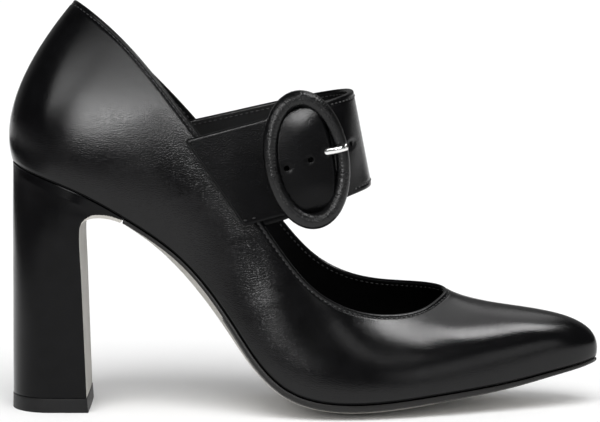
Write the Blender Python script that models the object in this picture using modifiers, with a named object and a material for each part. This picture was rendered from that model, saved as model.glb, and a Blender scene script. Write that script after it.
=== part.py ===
"""Block heel shoe with a wide buckled strap over the instep, a right shoe of about EU size 38.

X runs from heel to toe, Y to the inner (medial) side of the foot and Z up from the floor.
Sizes are in millimetres and become metres when a mesh is made.
"""
import math

import bmesh
import bpy
import numpy as np
from mathutils import Matrix, Vector

OBJECT_NAME = "block_heel_shoe"
MM = 0.001

# Driving dimensions
LENGTH = 238.0           # back of the heel to the tip of the toe
BALL_WIDTH = 80.0        # across the ball of the foot
HEEL_HEIGHT = 100.0      # floor to the back of the heel seat
INSTEP_HEIGHT = 128.0    # floor to the strap's upper edge over the instep
WALL = 1.8               # leather and lining together
GAP = 0.3                # clearance between pieces that meet

# The last: a row for each section, from the heel back along both sides to the toe tip.
# along, top_along are per cent of LENGTH; seat is per cent of HEEL_HEIGHT; the heights of the
# topline are per cent of INSTEP_HEIGHT; widths from the middle line are per cent of BALL_WIDTH.
# sag is the roundness of the bottom and sole the sole's thickness, both in millimetres.
# lean, splay and fall are degrees; wall and crest are per cent of the rib from feather to topline.
SECTION_COLUMNS = ("along", "seat", "lateral", "medial", "sag", "sole",
                   "top_along", "top_z_lateral", "top_z_medial", "top_lateral", "top_medial",
                   "lean", "splay", "wall", "crest", "fall")
SECTIONS = {
    "heel back":   (0.8, 100.1, 0.0, 0.0, 0.0, 2.0, 11.5, 129.1, 129.1, 0.0, 0.0, 20, 33, 33, 30, 25),
    "heel curve":  (3.9, 97.3, 22.6, 22.5, 0.0, 2.0, 13.9, 126.9, 124.5, 14.4, 14.4, 20, 21, 33, 31, 20),
    "heel side":   (11.3, 90.6, 31.6, 31.2, 0.0, 2.0, 20.2, 117.2, 112.2, 25.6, 25.6, 20, 12, 33, 33, 14),
    "seat front":  (20.6, 78.6, 32.0, 29.4, 1.0, 1.9, 28.6, 98.9, 95.8, 33.2, 31.6, 22, 10, 33, 33, 8),
    "waist":       (29.8, 62.6, 32.9, 26.6, 3.4, 1.8, 37.4, 77.0, 76.6, 36.6, 34.8, 24, 10, 33, 33, 6),
    "arch":        (38.7, 36.1, 40.0, 29.8, 3.2, 2.1, 45.8, 54.5, 58.2, 39.4, 37.0, 25, 8, 33, 33, 8),
    "tread":       (47.9, 11.4, 47.0, 39.6, 3.0, 2.8, 52.5, 40.0, 45.1, 38.8, 36.6, 15, 6, 35, 33, 16),
    "ball":        (58.4, 6.5, 48.4, 48.0, 4.2, 3.0, 58.6, 33.8, 39.7, 33.8, 34.1, 2, 5, 38, 35, 32),
    "vamp":        (73.1, 9.0, 37.8, 41.9, 2.8, 2.8, 66.0, 31.7, 38.2, 24.4, 26.2, -4, 6, 42, 38, 46),
    "toe side":    (85.7, 12.6, 22.9, 30.0, 1.5, 2.3, 70.8, 33.2, 38.3, 14.8, 17.5, -6, 8, 42, 37, 52),
    "toe corner":  (93.3, 16.0, 13.4, 20.8, 0.8, 1.8, 73.2, 35.5, 38.0, 5.6, 11.2, -7, 14, 41, 32, 51),
    "toe round":   (98.3, 18.3, 4.6, 11.8, 0.3, 1.5, 74.1, 36.7, 37.5, 0.0, 6.5, -8, 19, 39, 27, 48),
    "toe tip":     (100.2, 19.4, -3.7, 3.7, 0.0, 1.4, 74.2, 37.2, 37.2, -3.1, 3.1, -8, 21, 38, 25, 47),
}

# The heel: a row for each level. back and front are millimetres from the heel end of the shoe,
# heights are per cent of HEEL_HEIGHT, half is the half width, round the depth of the round back and
# swell how far the breast stands out between its two edges.
HEEL_COLUMNS = ("back", "back_z", "front", "front_z", "half", "round", "swell")
LIFT_LEVELS = {
    "floor":        (0.95, 0.0, 32.6, 0.0, 19.4, 16.0, 0.2),
    "lift top":     (1.10, 5.8, 32.2, 5.8, 19.5, 16.0, 0.2),
}
HEEL_LEVELS = {
    "heel foot":    (1.15, 6.1, 32.0, 6.1, 19.5, 16.0, 0.2),
    "lower shank":  (1.30, 30.0, 31.2, 30.0, 20.8, 17.0, 0.3),
    "middle":       (1.45, 54.0, 30.4, 54.0, 22.4, 19.0, 0.4),
    "upper shank":  (1.55, 75.0, 29.8, 72.0, 24.0, 21.5, 0.5),
    "breast turn":  (1.60, 82.0, 30.4, 76.6, 24.5, 22.5, 0.8),
    "breast arch":  (1.65, 86.5, 32.6, 78.6, 24.8, 23.3, 1.2),
    "lip root":     (1.70, 90.5, 37.0, 79.5, 25.0, 24.0, 1.6),
    "lip":          (1.75, 94.0, 42.0, 79.0, 25.2, 24.6, 1.8),
    "lip end":      (1.80, 97.0, 46.2, 77.7, 25.4, 25.2, 1.8),
}
LIP_END = 47.8           # where the heel's lip ends and the sole begins

# Insole
INSOLE_THICKNESS = 1.6
INSOLE_INSET = WALL + GAP + 0.5

# Outsole: its underside draws in a little at the edge
SOLE_EDGE_INSET = 0.5
SOLE_EDGE_SHARE = 0.8    # thickness at the edge, as a share of the thickness in the middle

# The strap's own frame: run goes up the strap to the front of the instep, side is the shoe's Y and
# across goes from the strap's lower edge to its upper one
STRAP_FRONT_X = 23.9
STRAP_FRONT_Z = INSTEP_HEIGHT - 18.0
STRAP_RISE = 14.7        # degrees
STRAP_FLARE = 0.065      # how far the upper edge leans forward of square, per millimetre of width
STRAP_HALF_WIDTH = 19.5
STRAP_THICKNESS = 2.4
STRAP_END_SLANT = 0.42   # slant of both cut ends, per millimetre of width

# The strap's line from its free end round the instep to its root: tilt moves the upper edge towards
# the inner side, pinch bends a row round the oval of the buckle and lift raises a row.
STRAP_COLUMNS = ("run", "side", "tilt", "pinch", "lift")
STRAP_PATH = {
    "free end":         (-69.2, -33.6, 0.05, 0.0, 0.0),
    "outer quarter":    (-52.0, -33.1, 0.04, 0.0, 0.0),
    "left rim":         (-38.0, -32.6, 0.0, 18.0, 0.0),
    "bar":              (-23.2, -35.0, 0.0, 0.0, 0.0),
    "right rim":        (-9.0, -26.9, 0.0, -16.0, 0.0),
    "outer corner":     (-3.2, -15.0, 0.0, 0.0, 0.0),
    "front":            (-1.2, -2.5, 0.0, 0.0, 0.0),
    "inner corner":     (-4.6, 12.5, 0.0, 0.0, 0.1),
    "inner side":       (-17.0, 24.0, 0.0, 0.0, 0.4),
    "topline":          (-36.0, 26.2, 0.0, 0.0, 1.1),
    "inner quarter":    (-52.0, 24.7, 0.0, 0.0, 1.8),
    "root":             (-71.0, 21.5, 0.02, 0.0, 2.8),
}
HOLE_RADIUS = 1.1
HOLE_DEPTH = 8.0
HOLE_COLUMNS = ("run", "across")
HOLES = {
    "rear hole":        (-30.6, -1.0),
    "middle hole":      (-22.0, 0.3),
    "front hole":       (-5.4, 1.4),
}

# Buckle: an oval ring, a bar across it and a prong, in the strap's frame
BUCKLE_RUN = -23.2
BUCKLE_SIDE = -36.2
BUCKLE_HALF_LONG = 24.4
BUCKLE_HALF_SHORT = 14.4
BUCKLE_TUBE_SIDE = 2.65
BUCKLE_TUBE_END = 3.25
BUCKLE_TURN = 10.0       # degrees that its front edge turns in towards the instep
BAR_RADIUS = 1.4
BAR_SIDE = -29.9
BAR_HALF_LENGTH = 21.8
BAR_STRAIGHT = 16.0      # half length of its straight middle
BAR_BOW = 3.6            # how far its ends bend out to the ring
PRONG_RADIUS = 0.9
PRONG_ACROSS = 1.0
PRONG_TURN = (-327.0, -57.0)   # degrees round the bar, from its front towards the outside
PRONG_COLUMNS = ("run", "side")
PRONG_PATH = {
    "under strap":  (-19.2, -29.8),
    "through hole": (-16.0, -32.4),
    "before rim":   (-12.4, -35.9),
    "over rim":     (-8.8, -37.7),
    "tip":          (-6.2, -37.3),
}
PRONG_CLEARANCE = 0.35

# Short strap from inside the outer quarter round the bar
CHAPE_THICKNESS = 1.4
CHAPE_COLUMNS = ("run", "side", "tilt", "low", "high")
CHAPE_PATH = {
    "root":         (-64.0, -26.2, 0.04, -22.2, 17.0),
    "quarter":      (-47.0, -27.4, 0.03, -22.2, 17.0),
    "reach":        (-33.0, -27.6, 0.0, -21.2, 17.0),
    "bar":          (-23.2, -27.5, 0.0, -16.5, 15.0),
}
CHAPE_RETURN = (-26.8, -30.9)
SLOT_HALF = 3.0
SLOT_REAR = -28.5
SLOT_FRONT = -19.0
SLOT_DEPTH = 8.0

# How finely the forms are divided
FINE_STEPS = 400
MERGE = 0.02             # points nearer than this become one
UPPER_COLUMNS = 96
UPPER_ROWS = 10
SOLE_STEPS = 36
HEEL_TURN_STEPS = 10
HEEL_SIDE_STEPS = 7
SECTION_HALF = HEEL_TURN_STEPS + HEEL_SIDE_STEPS - 1
BREAST_POINTS = 7
STRAP_STEPS = 56
STRAP_ROWS = 7
CHAPE_STEPS = 12
CHAPE_ROWS = 4
WRAP_STEPS = 9
RING_STEPS = 44
BAR_STEPS = 18
LOOP_STEPS = 14
BLADE_STEPS = 12
TUBE_ROUNDNESS = 3
HOLE_SIDES = 12
SOLE_ACROSS = (-1.0, -0.93, -0.75, -0.5, -0.25, 0.0, 0.25, 0.5, 0.75, 0.93, 1.0)


def column(table, columns, name):
    """One named column of a table as an array."""
    place = columns.index(name)
    return np.array([row[place] for row in table.values()], float)


def closed_spline(knots, values):
    """Curve with smooth curvature through the values, closed on itself as its place goes from 0 to 1."""
    count = len(knots)
    spans = np.diff(np.append(knots, 1.0))
    rises = (np.roll(values, -1, axis=0) - values) / spans[:, None]
    system = np.zeros((count, count))
    for i in range(count):
        before = (i - 1) % count
        after = (i + 1) % count
        system[i, before] += spans[before]
        system[i, i] += 2.0 * (spans[before] + spans[i])
        system[i, after] += spans[i]
    bends = np.linalg.solve(system, 6.0 * (rises - np.roll(rises, 1, axis=0)))

    def at(places):
        places = np.mod(np.asarray(places, float), 1.0)
        i = np.clip(np.searchsorted(knots, places, side="right") - 1, 0, count - 1)
        after = (i + 1) % count
        span = spans[i][:, None]
        b = (places - knots[i])[:, None] / span
        a = 1.0 - b
        bent = (a ** 3 - a) * bends[i] + (b ** 3 - b) * bends[after]
        return a * values[i] + b * values[after] + bent * span ** 2 / 6.0

    return at


def open_spline(points, places):
    """Catmull-Rom curve through the points, read at places from 0 to 1 along it."""
    points = np.asarray(points, float)
    padded = np.vstack([2 * points[0] - points[1], points, 2 * points[-1] - points[-2]])
    steps = np.sqrt(np.linalg.norm(np.diff(padded, axis=0), axis=1))
    knots = np.concatenate([[0.0], np.cumsum(steps)])
    result = []
    for place in places:
        t = knots[1] + place * (knots[-2] - knots[1])
        i = int(np.clip(np.searchsorted(knots, t, side="right") - 1, 1, len(points) - 1))
        k = knots[i - 1:i + 3]
        p = padded[i - 1:i + 3]
        a = [p[j] + (p[j + 1] - p[j]) * (t - k[j]) / (k[j + 1] - k[j]) for j in range(3)]
        b = [a[j] + (a[j + 1] - a[j]) * (t - k[j]) / (k[j + 2] - k[j]) for j in range(2)]
        result.append(b[0] + (b[1] - b[0]) * (t - k[1]) / (k[2] - k[1]))
    return np.array(result)


def unit(vectors):
    """Vectors of length one."""
    return vectors / np.linalg.norm(vectors, axis=-1, keepdims=True)


class Last:
    """The form of the foot that upper, insole, sole and heel seat are made on."""

    def __init__(self):
        def read(name):
            return column(SECTIONS, SECTION_COLUMNS, name)

        feather_x = read("along") * LENGTH / 100 - LENGTH / 2
        feather_z = read("seat") * HEEL_HEIGHT / 100
        top_x = read("top_along") * LENGTH / 100 - LENGTH / 2
        rings = []
        for side, sign in (("lateral", -1), ("medial", 1)):
            feather_y = sign * read(side) * BALL_WIDTH / 100
            top_y = sign * read("top_" + side) * BALL_WIDTH / 100
            top_z = read("top_z_" + side) * INSTEP_HEIGHT / 100
            shape = [read(name) for name in ("sag", "sole", "lean", "splay", "wall", "crest", "fall")]
            rings.append(np.column_stack([feather_x, feather_y, feather_z, top_x, top_y, top_z] + shape))
        lateral, medial = rings
        steps = [np.linalg.norm(np.diff(ring[:, k:k + 3], axis=0), axis=1) for ring in rings for k in (0, 3)]
        half = np.concatenate([[0.0], np.cumsum(np.mean(steps, axis=0))])
        half = half / half[-1] / 2
        knots = np.concatenate([half, 1.0 - half[-2:0:-1]])
        self.read_ring = closed_spline(knots, np.vstack([lateral, medial[-2:0:-1]]))
        self.places = np.linspace(0.0, 0.5, FINE_STEPS)
        middle = (self.feather(self.places) + self.feather(1.0 - self.places)) / 2
        self.seat_x = middle[:, 0]
        self.seat_slope = np.gradient(middle[:, 2], middle[:, 0])

    def feather(self, places):
        return self.read_ring(places)[:, 0:3]

    def outward(self, places, first):
        """Level direction away from the shoe, for the ring whose columns begin at first."""
        step = 1e-4
        along = self.read_ring(places + step) - self.read_ring(places - step)
        tangent = along[:, first:first + 2]
        return unit(np.column_stack([tangent[:, 1], -tangent[:, 0], np.zeros(len(places))]))

    def seat_up(self, x):
        """Direction square to the bottom of the last, seen from the side."""
        slope = np.interp(x, self.seat_x, self.seat_slope)
        return unit(np.column_stack([-slope, np.zeros(len(slope)), np.ones(len(slope))]))

    def place_at(self, x):
        """Place on the lateral side whose feather edge lies at x."""
        return np.interp(x, self.feather(self.places)[:, 0], self.places)

    def surface(self, places, shares):
        """Outer surface: ribs from the feather edge (share 0) to the topline (share 1)."""
        ring = self.read_ring(places)
        foot = ring[:, 0:3]
        top = ring[:, 3:6]
        lean, splay, fall = (np.radians(ring[:, k])[:, None] for k in (8, 9, 12))
        chord = np.linalg.norm(top - foot, axis=1)[:, None]
        wall = ring[:, 10:11] / 100 * chord
        crest = ring[:, 11:12] / 100 * chord
        up = np.hstack([np.sin(lean), np.zeros_like(lean), np.cos(lean)])
        leave = unit(up * np.cos(splay) + self.outward(places, 0) * np.sin(splay))
        arrive = unit(self.outward(places, 3) * np.sin(fall) - up * np.cos(fall))
        hull = (foot, foot + wall * leave, top + crest * arrive, top)
        v = np.asarray(shares)[None, :, None]
        weights = ((1 - v) ** 3, 3 * v * (1 - v) ** 2, 3 * v ** 2 * (1 - v), v ** 3)
        return sum(point[:, None, :] * weight for point, weight in zip(hull, weights))

    def bottom(self, places, across, inset, lift):
        """Bottom of the last between its two feather edges, moved in by inset and up by lift."""
        lateral = self.feather(places) - inset * self.outward(places, 0)
        medial = self.feather(1.0 - places) - inset * self.outward(1.0 - places, 0)
        sag = self.read_ring(places)[:, 6]
        up = self.seat_up((lateral[:, 0] + medial[:, 0]) / 2)
        t = np.asarray(across)[None, :, None]
        flat = lateral[:, None, :] * (1 - t) / 2 + medial[:, None, :] * (1 + t) / 2
        drop = lift - sag[:, None, None] * (1 - t ** 2)
        return flat + drop * up[:, None, :]

    def sole_thickness(self, places):
        return self.read_ring(places)[:, 7]


def grid_faces(columns, rows, closed=False, start=0):
    """Quads of a grid whose points run along the rows of each column."""
    faces = []
    for i in range(columns if closed else columns - 1):
        this = start + i * rows
        after = start + (i + 1) % columns * rows
        for j in range(rows - 1):
            faces.append((this + j, after + j, after + j + 1, this + j + 1))
    return faces


def finish(name, colour, roughness, metallic=0.0):
    """Material of one piece."""
    material = bpy.data.materials.new(name + "_finish")
    material.use_nodes = True
    shader = material.node_tree.nodes["Principled BSDF"]
    shader.inputs["Base Color"].default_value = (*colour, 1.0)
    shader.inputs["Roughness"].default_value = roughness
    shader.inputs["Metallic"].default_value = metallic
    material.diffuse_color = (*colour, 1.0)
    return material


def add_object(name, data, material, parent, collection):
    """Object in its collection, hung on the part's empty."""
    piece = bpy.data.objects.new(name, data)
    piece.parent = parent
    data.materials.append(material)
    collection.objects.link(piece)
    return piece


def new_mesh(name, points, faces):
    """Mesh in metres with merged points and faces that point out."""
    mesh = bpy.data.meshes.new(name)
    work = bmesh.new()
    corners = [work.verts.new(point) for point in np.asarray(points).reshape(-1, 3) * MM]
    for face in faces:
        work.faces.new([corners[k] for k in face])
    bmesh.ops.remove_doubles(work, verts=work.verts, dist=MERGE * MM)
    bmesh.ops.dissolve_degenerate(work, edges=work.edges, dist=MERGE * MM / 2)
    bmesh.ops.recalc_face_normals(work, faces=work.faces)
    work.to_mesh(mesh)
    work.free()
    return mesh


def smooth(mesh, angle=40.0):
    """Round shading, with a hard edge where faces meet at more than the angle."""
    mesh.shade_smooth()
    mesh.set_sharp_from_angle(angle=math.radians(angle))


def plate_mesh(name, upper, lower):
    """Closed plate between an upper and a lower grid of the same size."""
    columns, rows = upper.shape[:2]
    count = columns * rows
    faces = grid_faces(columns, rows)
    faces += [tuple(reversed(face)) for face in grid_faces(columns, rows, start=count)]
    rim = [i * rows for i in range(columns)]
    rim += [(columns - 1) * rows + j for j in range(1, rows)]
    rim += [i * rows + rows - 1 for i in range(columns - 2, -1, -1)]
    rim += [j for j in range(rows - 2, 0, -1)]
    for k, corner in enumerate(rim):
        after = rim[(k + 1) % len(rim)]
        faces.append((after, corner, corner + count, after + count))
    return new_mesh(name, np.concatenate([upper.reshape(-1, 3), lower.reshape(-1, 3)]), faces)


def make_upper(last, parent, collection):
    """Open leather surface on the last, thickened inwards; open at the topline and underneath."""
    places = np.arange(UPPER_COLUMNS) / UPPER_COLUMNS
    surface = last.surface(places, np.linspace(0.0, 1.0, UPPER_ROWS))
    mesh = new_mesh("upper", surface, grid_faces(UPPER_COLUMNS, UPPER_ROWS, closed=True))
    smooth(mesh)
    upper = add_object("upper", mesh, finish("upper", (0.012, 0.012, 0.013), 0.38), parent, collection)
    wall = upper.modifiers.new("wall", "SOLIDIFY")
    wall.thickness = WALL * MM
    wall.offset = -1.0
    wall.use_even_offset = True
    return upper


def make_insole(last, parent, collection):
    """Thin board that lies on sole and heel seat inside the upper."""
    places = np.linspace(0.0, 0.5, SOLE_STEPS)
    lower = last.bottom(places, SOLE_ACROSS, INSOLE_INSET, 0.0)
    upper = last.bottom(places, SOLE_ACROSS, INSOLE_INSET, INSOLE_THICKNESS)
    mesh = plate_mesh("insole", upper, lower)
    smooth(mesh)
    return add_object("insole", mesh, finish("insole", (0.015, 0.015, 0.016), 0.6), parent, collection)


def make_outsole(last, parent, collection):
    """Sole from the heel's lip to the toe, flattened where the forefoot stands on the floor."""
    places = np.linspace(last.place_at(LIP_END + 2 * GAP - LENGTH / 2), 0.5, SOLE_STEPS)
    upper = last.bottom(places, SOLE_ACROSS, 0.0, -GAP)
    thickness = last.sole_thickness(places)[:, None, None]
    edge = np.abs(np.array(SOLE_ACROSS))[None, :, None] == 1.0
    tip = places[:, None, None] == 0.5
    share = np.where(edge | tip, SOLE_EDGE_SHARE, 1.0)
    up = last.seat_up(upper[:, 0, 0])[:, None, :]
    lower = last.bottom(places, SOLE_ACROSS, SOLE_EDGE_INSET, -GAP) - thickness * share * up
    lower[:, :, 2] = np.maximum(lower[:, :, 2], 0.0)
    mesh = plate_mesh("outsole", upper, lower)
    smooth(mesh, 35.0)
    return add_object("outsole", mesh, finish("outsole", (0.02, 0.02, 0.02), 0.45), parent, collection)


def heel_section(back, back_z, front, front_z, half, depth):
    """Open section of the heel: along the outer side, round the back and along the inner side."""
    turn = np.linspace(0.0, math.pi / 2, HEEL_TURN_STEPS)
    straight = np.linspace(0.0, 1.0, HEEL_SIDE_STEPS)[1:]
    run = np.concatenate([depth * (1 - np.cos(turn)), depth + straight * (front - back - depth)])
    wide = np.concatenate([half * np.sin(turn), np.full(len(straight), half)])
    x = back + run - LENGTH / 2
    z = (back_z + run / (front - back) * (front_z - back_z)) * HEEL_HEIGHT / 100
    outer = np.column_stack([x, -wide, z])[::-1]
    inner = np.column_stack([x, wide, z])[1:]
    return np.vstack([outer, inner])


def breast_points(section, swell):
    """Points across the breast, which swells out, from the inner front corner to the outer one."""
    t = np.linspace(0.0, 1.0, BREAST_POINTS + 2)[1:-1, None]
    line = section[-1] + (section[0] - section[-1]) * t
    return line + 4 * t * (1 - t) * swell


def level_rings(levels):
    """Closed sections of a heel piece, one for each level."""
    columns = {name: column(levels, HEEL_COLUMNS, name) for name in HEEL_COLUMNS}
    climb_x = np.gradient(columns["front"])
    climb_z = np.gradient(columns["front_z"] * HEEL_HEIGHT / 100)
    forward = unit(np.column_stack([climb_z, np.zeros(len(levels)), -climb_x]))
    swell = columns.pop("swell")[:, None] * forward
    rings = []
    for row, bulge in zip(zip(*columns.values()), swell):
        section = heel_section(*row)
        rings.append(np.vstack([section, breast_points(section, bulge)]))
    return rings


def loft_faces(count, rings):
    """Quads between closed rings of equal count."""
    faces = []
    for r in range(rings - 1):
        for k in range(count):
            after = (k + 1) % count
            faces.append((r * count + k, r * count + after, (r + 1) * count + after, (r + 1) * count + k))
    return faces


def flat_cap(section_count, breast_count, start):
    """Faces across a level section: strips from the outer to the inner side, then the breast's curve."""
    faces = []
    for k in range(section_count // 2):
        other = section_count - 1 - k
        pair = (start + k, start + k + 1, start + other - 1, start + other)
        faces.append(tuple(dict.fromkeys(pair)))
    front = [start + section_count + j for j in range(breast_count)]
    faces.append((start, start + section_count - 1, *front))
    return faces


def seat_grid(last, below):
    """Top of the heel under the last's bottom, in rows from the lip's end to the back."""
    side = below[:SECTION_HALF]
    share = (side[:, 0] - side[-1, 0]) / (side[0, 0] - side[-1, 0])
    back = last.feather(np.zeros(1))[0, 0]
    places = last.place_at(back + share * (LIP_END - LENGTH / 2 - back))
    return last.bottom(places, np.linspace(-1.0, 1.0, BREAST_POINTS + 2), 0.0, -GAP)


def make_heel(last, parent, collection):
    """Covered block heel whose top follows the seat and runs forward into a thin lip."""
    rings = level_rings(HEEL_LEVELS)
    seat = seat_grid(last, rings[-1])
    rings.append(np.vstack([seat[:, 0], seat[-2::-1, -1], seat[0, -2:0:-1]]))
    count = len(rings[0])
    faces = loft_faces(count, len(rings)) + flat_cap(2 * SECTION_HALF - 1, BREAST_POINTS, 0)
    faces += grid_faces(len(seat), seat.shape[1], start=count * len(rings))
    mesh = new_mesh("heel_block", np.concatenate(rings + [seat.reshape(-1, 3)]), faces)
    smooth(mesh, 35.0)
    leather = finish("heel_block", (0.012, 0.012, 0.013), 0.35)
    return add_object("heel_block", mesh, leather, parent, collection)


def make_lift(parent, collection):
    """Rubber top piece that the heel stands on."""
    rings = level_rings(LIFT_LEVELS)
    count = len(rings[0])
    faces = loft_faces(count, len(rings))
    for start in (0, count):
        faces += flat_cap(2 * SECTION_HALF - 1, BREAST_POINTS, start)
    mesh = new_mesh("heel_top_lift", np.concatenate(rings), faces)
    smooth(mesh, 35.0)
    rubber = finish("heel_top_lift", (0.01, 0.01, 0.01), 0.6)
    return add_object("heel_top_lift", mesh, rubber, parent, collection)


def in_shoe(points):
    """Points given as run, side and across, in the shoe's own frame."""
    run, side, across = np.moveaxis(np.asarray(points, float), -1, 0)
    run = run + STRAP_FLARE * across
    rise = math.radians(STRAP_RISE)
    x = STRAP_FRONT_X + run * math.cos(rise) - across * math.sin(rise)
    z = STRAP_FRONT_Z + run * math.sin(rise) + across * math.cos(rise)
    return np.stack([x, side, z], axis=-1)


def at_across(line, across):
    """A line of run and side, placed at one distance across the strap."""
    return np.column_stack([line, np.full(len(line), across)])


def even_steps(points, count, cut):
    """Points at even steps along the curve through the given ones, with both ends cut back."""
    fine = open_spline(points, np.linspace(0.0, 1.0, FINE_STEPS))
    reach = np.concatenate([[0.0], np.cumsum(np.linalg.norm(np.diff(fine, axis=0), axis=1))])
    lengths = np.linspace(cut, reach[-1] - cut, count)
    return np.column_stack([np.interp(lengths, reach, values) for values in fine.T])


def strap_line(across, count=STRAP_STEPS):
    """The strap's middle line at one distance across, from free end to root."""
    run, side, tilt, pinch, lift = (column(STRAP_PATH, STRAP_COLUMNS, name) for name in STRAP_COLUMNS)
    bend = 1.0 - math.sqrt(1.0 - (across / BUCKLE_HALF_LONG) ** 2)
    rows = np.column_stack([run + pinch * bend, side + tilt * across, across + lift])
    return even_steps(rows, count, STRAP_END_SLANT * (STRAP_HALF_WIDTH - across))


def chape_line(share):
    """Middle line of the short strap, at a share of its width: from its root round the bar and back."""
    run, side, tilt, low, high = (column(CHAPE_PATH, CHAPE_COLUMNS, name) for name in CHAPE_COLUMNS)
    across = low + share * (high - low)
    reach = even_steps(np.column_stack([run, side + tilt * across, across]), CHAPE_STEPS, 0.0)
    radius = BAR_RADIUS + GAP + CHAPE_THICKNESS / 2
    turn = np.radians(np.linspace(-90.0, 90.0, WRAP_STEPS))[1:]
    wrap = np.column_stack([BUCKLE_RUN + radius * np.cos(turn), BAR_SIDE - radius * np.sin(turn)])
    return np.vstack([reach, at_across(np.vstack([wrap, CHAPE_RETURN]), across[-1])])


def prong_line():
    """Middle line of the prong: a loop round the bar, then through the strap and over the rim."""
    radius = BAR_RADIUS + GAP + PRONG_RADIUS
    turn = np.radians(np.linspace(*PRONG_TURN, LOOP_STEPS))
    loop = np.column_stack([BUCKLE_RUN + radius * np.cos(turn), BAR_SIDE - radius * np.sin(turn)])
    blade = np.column_stack([column(PRONG_PATH, PRONG_COLUMNS, name) for name in PRONG_COLUMNS])
    rows = np.vstack([loop[-1:], blade])
    return np.vstack([loop, even_steps(rows, BLADE_STEPS, 0.0)[1:]])


def tube_mesh(name, points, radii, closed=False):
    """Round tube along the points, as a welded mesh."""
    curve = bpy.data.curves.new(name, "CURVE")
    curve.dimensions = "3D"
    curve.bevel_depth = MM
    curve.bevel_resolution = TUBE_ROUNDNESS
    curve.use_fill_caps = True
    spline = curve.splines.new("POLY")
    spline.points.add(len(points) - 1)
    for place, point, radius in zip(spline.points, points * MM, radii):
        place.co = (*point, 1.0)
        place.radius = radius
    spline.use_cyclic_u = closed
    holder = bpy.data.objects.new(name, curve)
    bpy.context.scene.collection.objects.link(holder)
    mesh = bpy.data.meshes.new_from_object(holder.evaluated_get(bpy.context.evaluated_depsgraph_get()))
    bpy.data.objects.remove(holder)
    bpy.data.curves.remove(curve)
    work = bmesh.new()
    work.from_mesh(mesh)
    bmesh.ops.remove_doubles(work, verts=work.verts, dist=MERGE * MM)
    bmesh.ops.recalc_face_normals(work, faces=work.faces)
    work.to_mesh(mesh)
    work.free()
    mesh.name = name
    return mesh


def rod_mesh(name, start, end, radius, sides):
    """Cylinder between two points of the shoe."""
    axis = Vector((end - start) * MM)
    turn = axis.to_track_quat("Z", "Y").to_matrix().to_4x4()
    middle = Matrix.Translation(Vector((start + end) / 2 * MM))
    mesh = bpy.data.meshes.new(name)
    work = bmesh.new()
    bmesh.ops.create_cone(work, cap_ends=True, segments=sides, radius1=radius * MM, radius2=radius * MM,
                          depth=axis.length, matrix=middle @ turn)
    work.to_mesh(mesh)
    work.free()
    return mesh


def cut_away(piece, name, mesh, cutters):
    """Take a cutter's form out of a piece."""
    cutter = bpy.data.objects.new(name, mesh)
    cutter.display_type = "WIRE"
    cutter.hide_render = True
    cutters.objects.link(cutter)
    cut = piece.modifiers.new(name, "BOOLEAN")
    cut.operation = "DIFFERENCE"
    cut.solver = "EXACT"
    cut.object = cutter


def thicken(piece, thickness):
    """Give a sheet its thickness, half on each side."""
    wall = piece.modifiers.new("thickness", "SOLIDIFY")
    wall.thickness = thickness * MM
    wall.offset = 0.0
    wall.use_even_offset = True


def hole_mesh(name, run, across):
    """Punch for one hole, square to the outer side of the strap."""
    line = strap_line(across, FINE_STEPS)
    outer = line[:int(np.argmax(line[:, 0]))]
    k = int(np.argmin(np.abs(outer[:, 0] - run)))
    along = unit(outer[k + 1] - outer[k - 1])
    square = HOLE_DEPTH / 2 * np.array([along[1], -along[0], 0.0])
    ends = in_shoe(np.vstack([outer[k] - square, outer[k] + square]))
    return rod_mesh(name, ends[0], ends[1], HOLE_RADIUS, HOLE_SIDES)


def make_strap(parent, collection, cutters):
    """Wide strap from the inner quarter over the instep and under the buckle to its free end."""
    widths = np.linspace(-STRAP_HALF_WIDTH, STRAP_HALF_WIDTH, STRAP_ROWS)
    grid = np.array([in_shoe(strap_line(across)) for across in widths])
    mesh = new_mesh("instep_strap", grid, grid_faces(STRAP_ROWS, STRAP_STEPS))
    smooth(mesh)
    leather = finish("instep_strap", (0.012, 0.012, 0.013), 0.48)
    strap = add_object("instep_strap", mesh, leather, parent, collection)
    thicken(strap, STRAP_THICKNESS)
    runs, acrosses = (column(HOLES, HOLE_COLUMNS, name) for name in HOLE_COLUMNS)
    for name, run, across in zip(HOLES, runs, acrosses):
        cut_away(strap, name, hole_mesh(name, run, across), cutters)
    path = in_shoe(at_across(prong_line()[LOOP_STEPS - 1:], PRONG_ACROSS))
    slit = tube_mesh("prong hole", path, np.full(len(path), PRONG_RADIUS + PRONG_CLEARANCE))
    cut_away(strap, "prong hole", slit, cutters)
    return strap


def make_chape(parent, collection, cutters):
    """Short strap from inside the outer quarter round the bar, slotted for the prong."""
    grid = np.array([in_shoe(chape_line(share)) for share in np.linspace(0.0, 1.0, CHAPE_ROWS)])
    mesh = new_mesh("buckle_strap", grid, grid_faces(CHAPE_ROWS, grid.shape[1]))
    smooth(mesh)
    leather = finish("buckle_strap", (0.012, 0.012, 0.013), 0.48)
    chape = add_object("buckle_strap", mesh, leather, parent, collection)
    thicken(chape, CHAPE_THICKNESS)
    corners = [(run, BAR_SIDE + depth, PRONG_ACROSS + half) for run in (SLOT_REAR, SLOT_FRONT)
               for depth in (-SLOT_DEPTH / 2, SLOT_DEPTH / 2) for half in (-SLOT_HALF, SLOT_HALF)]
    faces = [(0, 1, 3, 2), (4, 6, 7, 5), (0, 4, 5, 1), (2, 3, 7, 6), (0, 2, 6, 4), (1, 5, 7, 3)]
    cut_away(chape, "prong slot", new_mesh("prong slot", in_shoe(corners), faces), cutters)
    return chape


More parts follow.
